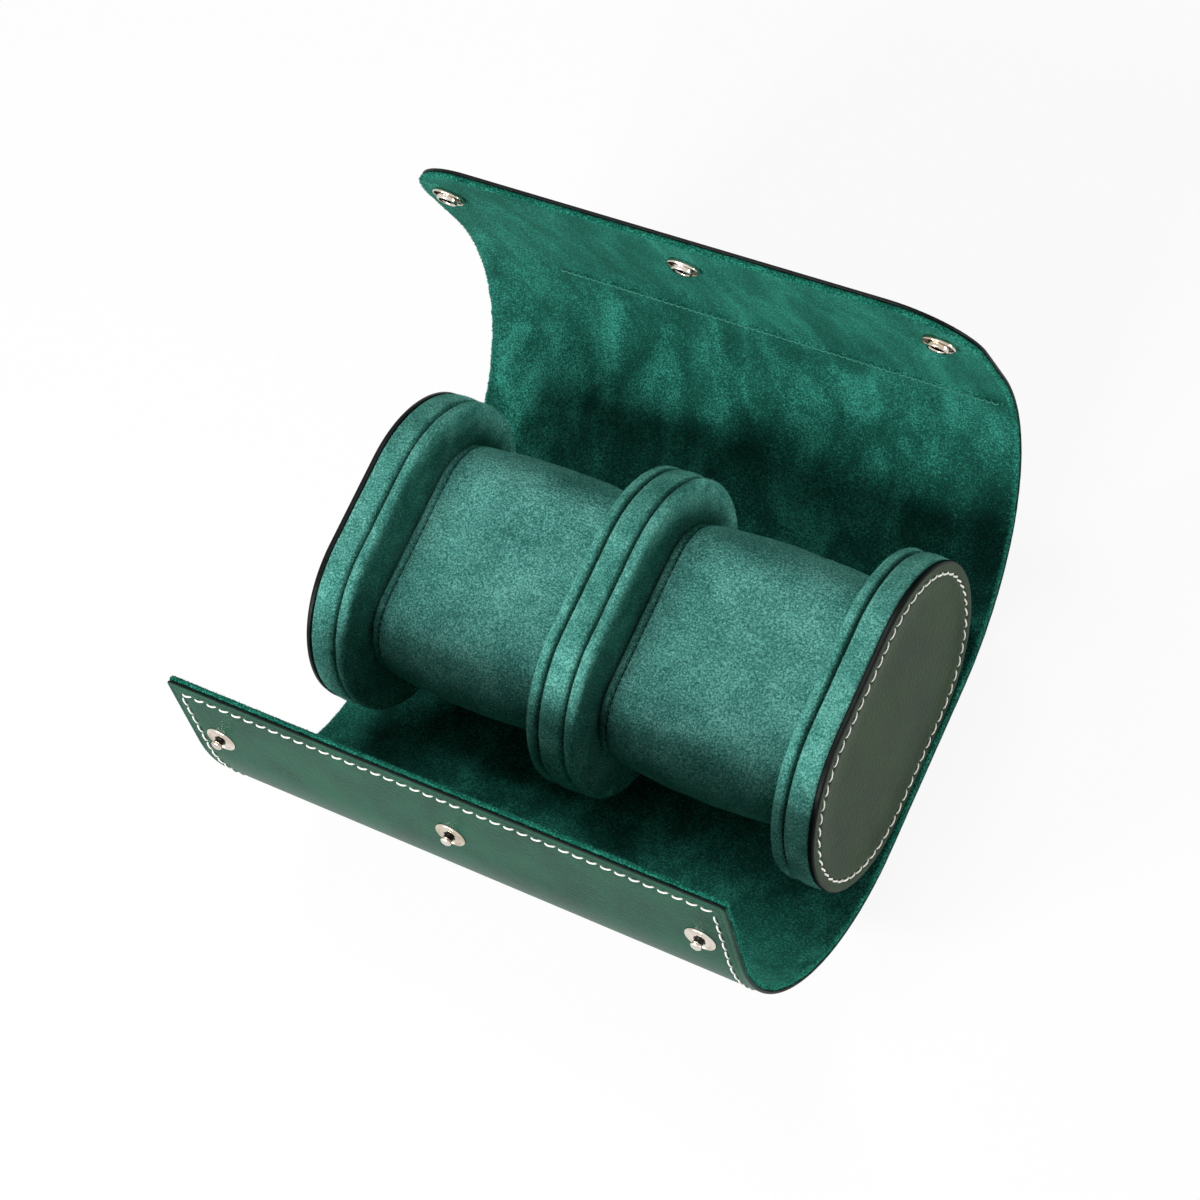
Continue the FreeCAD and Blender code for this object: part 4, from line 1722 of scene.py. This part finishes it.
@dataclass
class Spool:
    """The spool: two capped end discs and a divider, each a banded core with padded cheeks."""

    stitches: StitchTree
    fuzz: FuzzTree
    outline: RoundedOutline = field(default_factory=lambda: RoundedOutline(
        half_depth=52.5 * MM, half_height=38.0 * MM, radius=37.0 * MM, centre_height=41.0 * MM
    ))
    core_in: float = 8.0 * MM
    seam_deep: float = 1.7 * MM
    seam_half: float = 0.42 * MM
    seam_round: float = 1.5 * MM
    seam_steps: int = 6
    seam_thread_rise: float = 0.35 * MM
    band_bulge: float = 0.2 * MM
    band_steps: int = 8
    band_seed: int = 21
    band_uneven: Unevenness = Unevenness(size=9.0 * MM, tall=0.06 * MM)
    cheek_round: float = 1.7 * MM
    cheek_steps: int = 9
    cheek_insets_mm: Sequence[float] = (2.8, 3.6, 5.0, 7.0, 10.0, 14.0, 19.0, 25.0, 31.0, 36.5)
    cheek_fill: float = 0.7
    cheek_bare_rings: int = 7
    cheek_seed: int = 31
    cheek_uneven: Unevenness = Unevenness(size=10.0 * MM, tall=0.07 * MM)
    cushion: float = 0.25 * MM
    cushion_reach: float = 5.0 * MM
    cap_gap: float = 0.7 * MM
    cap_round: float = 0.7 * MM
    cap_steps: int = 5
    cap_foot_mm: Profile = ((0.0, 4.0), (0.0, 0.35), (0.25, 0.05), (0.6, 0.0))
    cap_insets_mm: Sequence[float] = (
        1.1, 1.7, 2.3, 2.8, 3.2, 3.5, 3.8, 4.1, 4.5, 5.0, 5.7, 6.6, 8.0, 10.0, 14.0, 20.0, 28.0, 36.5,
    )
    ring_in: float = 3.8 * MM
    ring_pull: float = 0.35 * MM
    ring_wide: float = 0.7 * MM
    dish: float = 0.7 * MM
    dish_in: float = 4.0 * MM
    dish_fade: float = 1.3 * MM

    @staticmethod
    def seat(node: str, facing: Facing) -> tuple[float, float]:
        """Where along the roll a facing piece is seated, and its thickness."""
        low, high = (corner.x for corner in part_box(node))
        return low if facing is Facing.RIGHT else high, high - low

    def band(self, disc: str, seed: int, seam_left: bool, seam_right: bool) -> None:
        """Build a suede band with its core, swollen in the middle and drawn in at its seams.

        Args:
            disc: the disc's name.
            seed: the seed of its unevenness and fuzz.
            seam_left: whether it has a seam on its left.
            seam_right: whether it has a seam on its right.
        """
        node = f"{disc}_band"
        low, high = (corner.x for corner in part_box(node))
        left = self.seam_deep if seam_left else self.cap_gap
        right = self.seam_deep if seam_right else self.cap_gap
        low += self.seam_half if seam_left else 0.0
        high -= self.seam_half if seam_right else 0.0
        rise = quarter((low, left), (low + self.seam_round, 0.0), self.seam_steps)
        fall = quarter((high, right), (high - self.seam_round, 0.0), self.seam_steps)[::-1]
        profile = [(low, self.core_in), *rise]
        for share in np.linspace(0, 1, self.band_steps + 1)[1:-1]:
            x = rise[-1][0] + (fall[0][0] - rise[-1][0]) * share
            profile.append((x, -self.band_bulge * math.sin(math.pi * share)))
        profile += [*fall, (high, self.core_in)]
        shell = self.outline.swept(profile)
        self.band_uneven.give(shell, seed)
        piece = shell.build(f"suede_{node}", (RIM_SUEDE,))
        fit(piece, "base", [node, f"{disc}_core"])
        self.fuzzy(node, profile[2:-2], seed)

    def fuzzy(self, name: str, profile: Profile, seed: int) -> None:
        """Grow fuzz on the rings of a profile."""
        fibres = RIM_FUZZ.grow(self.fuzz, f"fuzz_{name}", [self.outline.bed(profile)], seed)
        fit(fibres, "base")

    def cheek(self, name: str, facing: Facing, seed: int) -> None:
        """Build a padded cheek: a rolled rim beside the seam and a softly cushioned face.

        Args:
            name: the cheek's name.
            facing: the way its face looks.
            seed: the seed of its unevenness and fuzz.
        """
        foot, thick = self.seat(f"{name}_skin", facing)
        gap = self.seam_half
        section = [(gap, self.core_in)]
        section += quarter((gap, self.seam_deep), (self.seam_round, 0.0), self.seam_steps)
        rim_foot = (thick, self.cheek_round)
        section += quarter(rim_foot, (thick - self.cheek_round, 0.0), self.cheek_steps)[::-1]
        for inset_mm in self.cheek_insets_mm:
            inset = inset_mm * MM
            section.append((thick - self.cushion * (1 - math.exp(-inset / self.cushion_reach)), inset))
        profile = [(foot + facing.value * x, inset) for x, inset in section]
        shell = self.outline.swept(profile)
        self.cheek_uneven.give(shell, seed)
        piece = shell.build(f"suede_{name}", (RIM_SUEDE,))
        fit(piece, "base", [f"{name}_skin", f"{name}_foam"])
        self.seam(name, foot)
        self.fuzzy(name, profile[2:-self.cheek_bare_rings], seed)

    def seam(self, name: str, x: float) -> None:
        """Sew the dark stitches down in the groove between a cheek and its band: near black, partly
        painted shade of the groove.

        Args:
            name: the cheek's name.
            x: the groove's place along the roll.
        """
        line = self.outline.line(x, self.seam_deep - self.seam_thread_rise)
        lines = [(line, self.outline.normals(x))]
        fit(SEAM_STITCH.sew(self.stitches, f"seam_{name}", lines), "base")

    def cap(self, node: str, facing: Facing) -> None:
        """Build an end disc's leather facing: a painted edge, a stitched ring and a soft field.

        Args:
            node: the cap's CAD node.
            facing: the way its face looks.
        """
        foot, thick = self.seat(node, facing)
        way = facing.value
        edge = self.cap_round
        section = [(x * MM, inset * MM) for x, inset in self.cap_foot_mm]
        section += arc((thick - edge, edge), edge, start_deg=-90, end_deg=0, steps=self.cap_steps)
        slots = [1] * (len(section) - 1) + [0] * len(self.cap_insets_mm)
        for inset_mm in self.cap_insets_mm:
            inset = inset_mm * MM
            pull = self.ring_pull * math.exp(-((inset - self.ring_in) / self.ring_wide) ** 2)
            step = 1 / (1 + math.exp(-(inset - self.ring_in - self.dish_in) / self.dish_fade))
            section.append((thick - pull - self.dish * step, inset))
        profile = [(foot + way * x, inset) for x, inset in section]
        piece = self.outline.swept(profile, slots).build(f"leather_{node}", (CAP_LEATHER, BLACK_EDGE))
        line = self.outline.line(foot + way * (thick - self.ring_pull), self.ring_in)
        normals = np.repeat([[float(way), 0.0, 0.0]], len(line), axis=0)
        sewn = EDGE_STITCH.sew(self.stitches, f"stitches_{node}", [(line, normals)])
        fit(piece, "base", [node])
        fit(sewn, "base")

    def build(self) -> None:
        """Build the three discs."""
        self.cap("left_cap", Facing.LEFT)
        self.cap("right_cap", Facing.RIGHT)
        bands = {"left_disc": (False, True), "divider": (True, True), "right_disc": (True, False)}
        for seed, (disc, seams) in enumerate(bands.items(), start=self.band_seed):
            self.band(disc, seed, *seams)
        cheeks = {
            "left_cheek": Facing.RIGHT,
            "divider_left_cheek": Facing.LEFT,
            "divider_right_cheek": Facing.RIGHT,
            "right_cheek": Facing.LEFT,
        }
        for seed, (name, facing) in enumerate(cheeks.items(), start=self.cheek_seed):
            self.cheek(name, facing, seed)


@dataclass
class Pillow:
    """A watch pillow: a crowned stuffed sleeve with a sewn hem at each end."""

    name: str
    seed: int
    stitches: StitchTree
    half_depth: float = 39.0 * MM
    half_height: float = 21.0 * MM
    corner: float = 18.0 * MM
    centre_height: float = 41.0 * MM
    crown: float = 2.0 * MM
    hem: float = 2.8 * MM
    hem_drop: float = 0.3 * MM
    hem_round: float = 1.5 * MM
    hem_fade: float = 1.2 * MM
    hem_steps: int = 6
    hem_rings: int = 18
    hem_reach: float = 4.4 * MM
    crown_power: float = 0.8
    crown_rings: int = 24
    crown_start: float = 5.0 * MM
    roll_clear: float = 0.2 * MM
    end_in: float = 12.0 * MM
    seam_deep: float = 1.1 * MM
    seam_wide: float = 0.45 * MM
    seam_thread_rise: float = 0.15 * MM
    fill: float = 0.85
    uneven: Unevenness = Unevenness(size=16.0 * MM, tall=0.12 * MM)

    def build(self) -> None:
        """Build the sleeve with its ends and let it ride on its own body."""
        low, high = (corner.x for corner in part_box(f"{self.name}_sleeve"))
        length = high - low
        outline = RoundedOutline(self.half_depth, self.half_height, self.corner, self.centre_height)
        edge = self.hem_round
        places = [
            *np.linspace(edge + self.roll_clear, self.hem_reach, self.hem_rings),
            *np.linspace(self.crown_start, length / 2, self.crown_rings),
        ]
        half = arc((edge, edge), edge, start_deg=180, end_deg=270, steps=self.hem_steps)
        half += [(x, 0.0) for x in places]
        profile = [(0.0, self.end_in)]
        for x, inset in half:
            profile.append((x, inset + self.drawn_in(x, length)))
        profile += [(length - x, inset) for x, inset in profile[-2::-1]]
        shell = outline.swept([(low + x, inset) for x, inset in profile])
        self.uneven.give(shell, self.seed)
        piece = shell.build(f"suede_{self.name}", (PILLOW_SUEDE,))
        fit(piece, self.name, [f"{self.name}_{part}" for part in ("sleeve", "foam", "ends")])
        # The hem seams' near-black stitches paint the shade of each hem's crease.
        lines = []
        for x in (self.hem, length - self.hem):
            line = outline.line(low + x, self.drawn_in(self.hem, length) - self.seam_thread_rise)
            lines.append((line, outline.normals(low + x)))
        fit(SEAM_STITCH.sew(self.stitches, f"seam_{self.name}", lines), self.name)

    def drawn_in(self, x: float, length: float) -> float:
        """Draw the sleeve in at its hem and seam, and swell it to its crown.

        Args:
            x: the place along the sleeve.
            length: the sleeve's length.

        Returns:
            The inset there.
        """
        past = max(0.0, x - self.hem)
        swell = math.sin(math.pi / 2 * min(1.0, past / (length / 2 - self.hem)))
        crown = self.crown * swell ** self.crown_power
        hem = self.hem_drop if x <= self.hem else self.hem_drop * math.exp(-past / self.hem_fade)
        seam = self.seam_deep * math.exp(-((x - self.hem) / self.seam_wide) ** 2)
        return hem + seam - crown


class SnapTree(PieceTree):
    """One turned piece set in a row."""

    NAME = "snap_row"
    INPUTS = {"Count": "Int", "Start": "Vector", "Step": "Vector", "Tilt": "Vector"}

    def placed(self, given: bpy.types.NodeOutputs) -> bpy.types.NodeSocket:
        """Lay out a line of points and stand the piece on each.

        Args:
            given: the tree's inputs.

        Returns:
            The placed pieces.
        """
        tree = self.tree
        row = add_node(
            tree, "GeometryNodeMeshLine", {"mode": "OFFSET"},
            {"Count": given["Count"], "Start Location": given["Start"], "Offset": given["Step"]},
        )
        standing = add_node(
            tree, "GeometryNodeInstanceOnPoints",
            inputs={
                "Points": row.outputs["Mesh"],
                "Instance": given["Geometry"],
                "Rotation": given["Tilt"],
            },
        )
        return standing.outputs["Instances"]


@dataclass
class SnapRow:
    """A row of turned snap pieces on one of the strips."""

    name: str
    turned_mm: Profile
    body: str
    along: float
    depth: float
    outwards: bool
    finish: PlatedMetal = NICKEL
    replaced: bool = True
    hollow: bool = False
    count: int = 3
    end_inset: float = 12.0 * MM
    half_width: float = 96.0 * MM
    sides: int = 40
    crease_deg: float = 40.0

    def turned(self) -> bpy.types.Object:
        """Turn one piece about Z from its half section.

        Returns:
            The piece, linked to the scene.
        """
        shell = Shell()
        turns = np.linspace(0, 2 * math.pi, self.sides, endpoint=False)
        rings = []
        for radius, height in self.turned_mm:
            up = np.full(self.sides, height * MM)
            ring = [radius * MM * np.cos(turns), radius * MM * np.sin(turns), up]
            rings.append(np.stack(ring, axis=-1))
        numbers = shell.add_points(np.stack(rings))
        if self.hollow:
            shell.add_grid(np.concatenate([numbers, numbers[:1]]), closed=True)
        else:
            shell.add_grid(numbers, closed=True)
            shell.add_face(numbers[0])
            shell.add_face(numbers[-1])
        return shell.build(f"{self.name}_one", (self.finish,), self.crease_deg)

    def build(self, tree: SnapTree, section: WrapSection) -> None:
        """Set the row on its strip.

        Args:
            tree: the tree that lays out the row.
            section: the wrap's section.
        """
        first = self.half_width - self.end_inset
        start = section.point(-first, self.along, self.depth)
        normal = section.at(np.array([self.along]), np.array([0.0]))[2][0]
        way = Vector((0, *normal)) * (-1 if self.outwards else 1)
        tilt = way.to_track_quat("Z", "X").to_euler()
        values = {
            "Count": self.count,
            "Start": start,
            "Step": Vector((2 * first / (self.count - 1), 0, 0)),
            "Tilt": Vector(tilt),
            "Material": self.finish.material(),
        }
        piece = tree.run(self.turned(), values, f"metal_{self.name}")
        piece.data.set_sharp_from_angle(angle=math.radians(self.crease_deg))
        fit(piece, self.body, [self.name] if self.replaced else [])


@dataclass
class Snaps:
    """The snap fasteners: studs and rivets on the front strip, sockets and caps on the back strip."""

    section: WrapSection
    stud_inset: float = 24.5 * MM
    socket_inset: float = 18.0 * MM
    stud_mm: Profile = (
        (0.6, -0.1), (4.9, -0.1), (5.05, 0.15), (5.0, 0.4), (4.75, 0.62), (4.4, 0.7), (4.1, 0.62),
        (3.95, 0.45), (3.75, 0.42), (3.5, 0.58), (3.0, 0.74), (2.4, 0.8), (2.05, 0.78), (1.85, 0.6),
        (1.6, 0.62), (1.42, 0.9), (1.36, 1.5), (1.42, 1.85), (1.72, 2.2), (1.82, 2.6), (1.7, 2.95),
        (1.35, 3.24), (0.8, 3.38), (0.2, 3.4),
    )
    # A dark collar round each stud's neck: a painted shadow.
    neck_mm: Profile = (
        (1.85, 0.5), (1.9, 0.8), (1.62, 0.9), (1.5, 1.05), (1.5, 1.75), (1.62, 2.02), (1.3, 2.0),
        (1.25, 0.6),
    )
    # A dark lining in each socket's well: painted shade.
    well_mm: Profile = (
        (3.4, 0.4), (4.86, 0.4), (4.84, 0.85), (4.7, 0.66), (3.6, 0.66), (3.44, 0.9),
    )
    rivet_mm: Profile = (
        (0.6, -0.1), (4.4, -0.1), (4.5, 0.1), (4.35, 0.32), (3.8, 0.46), (2.2, 0.5), (0.2, 0.5),
    )
    socket_mm: Profile = (
        (0.3, -0.1), (5.2, -0.1), (5.3, 0.15), (5.3, 0.9), (5.24, 1.2), (5.08, 1.36), (4.9, 1.28),
        (4.82, 1.0), (4.8, 0.5), (3.5, 0.5), (3.44, 1.0), (3.4, 2.1), (3.3, 2.42), (3.05, 2.6),
        (2.75, 2.54), (2.5, 2.3), (2.36, 1.9), (2.32, 0.5), (2.1, 0.3), (0.3, 0.25),
    )
    # A dark cup in each socket's bore: the spring, and painted shade that makes the bore look deep.
    spring_mm: Profile = (
        (0.2, 0.2), (2.2, 0.2), (2.3, 0.5), (2.3, 1.95), (2.2, 2.1), (2.06, 2.0), (2.0, 0.7),
        (1.8, 0.4), (1.5, 0.31), (0.2, 0.31),
    )
    cap_mm: Profile = (
        (0.6, -0.1), (5.85, -0.1), (6.0, 0.15), (5.95, 0.5), (5.6, 0.85), (4.8, 1.12), (3.5, 1.24),
        (1.8, 1.3), (0.2, 1.3),
    )

    def build(self) -> None:
        """Set each row on its strip."""
        tree = SnapTree()
        section = self.section
        front = {"body": "front_strip", "along": section.front_end + self.stud_inset}
        back = {"body": "back_strip", "along": section.back_end - self.socket_inset}
        outside = {"depth": section.thick, "outwards": True}
        inside = {"depth": 0.0, "outwards": False}
        # The dark pieces are painted shade in the snaps' hollows and round the studs' necks.
        dark = {"finish": STEEL_AND_PAINTED_SHADE, "replaced": False}
        rows = (
            SnapRow("snap_studs", self.stud_mm, **front, **outside),
            SnapRow("snap_neck_shadows", self.neck_mm, **front, **outside, **dark, hollow=True),
            SnapRow("snap_rivets", self.rivet_mm, **front, **inside),
            SnapRow("snap_sockets", self.socket_mm, **back, **inside),
            SnapRow("snap_springs", self.spring_mm, **back, **inside, **dark),
            SnapRow("snap_well_shadows", self.well_mm, **back, **inside, **dark, hollow=True),
            SnapRow("snap_caps", self.cap_mm, **back, **outside),
        )
        for row in rows:
            row.build(tree, section)


@dataclass(frozen=True)
class Lamp:
    """A round soft lamp aimed at the roll."""

    name: str
    way: tuple[float, float, float]
    wide: float
    watts: float
    far: float = 1.1
    aim_height: float = 50.0 * MM

    def build(self) -> None:
        """Hang the lamp."""
        light = bpy.data.lights.new(self.name, "AREA")
        light.shape = "DISK"
        light.size = self.wide
        light.energy = self.watts
        lamp = link(self.name, light)
        way = Vector(self.way).normalized()
        lamp.location = way * self.far + Vector((0, 0, self.aim_height))
        lamp.rotation_euler = way.to_track_quat("Z", "Y").to_euler()


@dataclass
class Studio:
    """A pale floor, soft light and the photograph's view."""

    focal_px: float = 2852.7
    eye: Vector = field(default_factory=lambda: Vector((370.17, -170.3, 826.69)) * MM)
    right: Vector = field(default_factory=lambda: Vector((0.84932, 0.42197, -0.31716)))
    down: Vector = field(default_factory=lambda: Vector((0.30954, -0.8848, -0.3483)))
    lamps: Sequence[Lamp] = (
        Lamp("top_lamp", way=(-0.25, 0.35, 0.9), wide=0.45, watts=4.3),
        Lamp("front_lamp", way=(-0.02, -0.75, 0.66), wide=0.3, watts=6.0),
        Lamp("left_lamp", way=(-0.41, -0.72, 0.56), wide=0.3, watts=7.6),
        Lamp("side_lamp", way=(0.99, 0.11, 0.03), wide=0.2, watts=6.9),
    )
    fill: float = 0.05
    floor_glow: float = 0.92
    floor_half: float = 12.0
    floor_drop: float = 0.4 * MM

    def build(self) -> None:
        """Set up the floor, the world, the lamps and the camera."""
        self.floor()
        self.world()
        for lamp in self.lamps:
            lamp.build()
        self.camera()
        bpy.context.scene.view_settings.view_transform = "Standard"

    @staticmethod
    def seen(tree: bpy.types.NodeTree) -> bpy.types.NodeSocket:
        """Tell the rays that show the surround from the light that it sheds.

        Args:
            tree: the nodes that ask.

        Returns:
            One for rays from the camera, reflections and refractions, and zero for other light.
        """
        path = add_node(tree, "ShaderNodeLightPath").outputs
        first = add_node(
            tree, "ShaderNodeMath", {"operation": "ADD"},
            {0: path["Is Camera Ray"], 1: path["Is Glossy Ray"]},
        )
        both = add_node(
            tree, "ShaderNodeMath", {"operation": "ADD", "use_clamp": True},
            {0: first.outputs["Value"], 1: path["Is Transmission Ray"]},
        )
        return both.outputs["Value"]

    def floor(self) -> None:
        """A wide white floor that keeps a pale shadow."""
        half = self.floor_half
        low = -self.floor_drop
        mesh = bpy.data.meshes.new("floor")
        corners = [(-half, -half, low), (half, -half, low), (half, half, low), (-half, half, low)]
        mesh.from_pydata(corners, [], [(0, 1, 2, 3)])
        paper = bpy.data.materials.new("white_paper")
        paper.use_nodes = True
        tree = paper.node_tree
        tree.nodes.clear()
        matt = add_node(tree, "ShaderNodeBsdfDiffuse", inputs={"Color": linear("#f4f4f4")})
        white = {"Color": linear("#ffffff"), "Strength": 1.0}
        glow = add_node(tree, "ShaderNodeEmission", inputs=white)
        share = add_node(
            tree, "ShaderNodeMath", {"operation": "MULTIPLY"}, {0: self.seen(tree), 1: self.floor_glow}
        )
        mix = add_node(
            tree, "ShaderNodeMixShader",
            inputs={0: share.outputs["Value"], 1: matt.outputs["BSDF"], 2: glow.outputs["Emission"]},
        )
        add_node(tree, "ShaderNodeOutputMaterial", inputs={"Surface": mix.outputs["Shader"]})
        mesh.materials.append(paper)
        link("floor", mesh)

    def world(self) -> None:
        """A white surround that fills the shadows softly."""
        world = bpy.data.worlds.new("studio")
        bpy.context.scene.world = world
        world.use_nodes = True
        tree = world.node_tree
        tree.nodes.clear()
        strength = add_node(
            tree, "ShaderNodeMapRange",
            inputs={"Value": self.seen(tree), "To Min": self.fill, "To Max": 1.0},
        )
        sky = add_node(
            tree, "ShaderNodeBackground",
            inputs={"Color": linear("#ffffff"), "Strength": strength.outputs["Result"]},
        )
        add_node(tree, "ShaderNodeOutputWorld", inputs={"Surface": sky.outputs["Background"]})

    def camera(self) -> None:
        """The photograph's camera, worked out from the discs, snaps and wrap edges."""
        lens = bpy.data.cameras.new("camera")
        lens.sensor_width = SENSOR_MM
        lens.lens = SENSOR_MM * self.focal_px / PHOTO_PIXELS
        lens.clip_start = 0.01
        lens.clip_end = 100.0
        eye = link("camera", lens)
        right = self.right.normalized()
        back = right.cross(-self.down).normalized()
        up = back.cross(right)
        turn = Matrix((right, up, back)).transposed()
        eye.matrix_world = Matrix.Translation(self.eye) @ turn.to_4x4()
        bpy.context.scene.camera = eye


def main() -> None:
    """Build the roll's sub-assemblies in order, then the studio."""
    logging.basicConfig(level=logging.INFO, format="%(message)s")
    section = WrapSection()
    stitches = StitchTree()
    fuzz = FuzzTree()
    Wrap(section, stitches, fuzz).build()
    Spool(stitches, fuzz).build()
    for seed, name in enumerate(("left_pillow", "right_pillow"), start=PILLOW_SEED):
        Pillow(name, seed, stitches).build()
    Snaps(section).build()
    Studio().build()


if __name__ == "__main__":
    main()
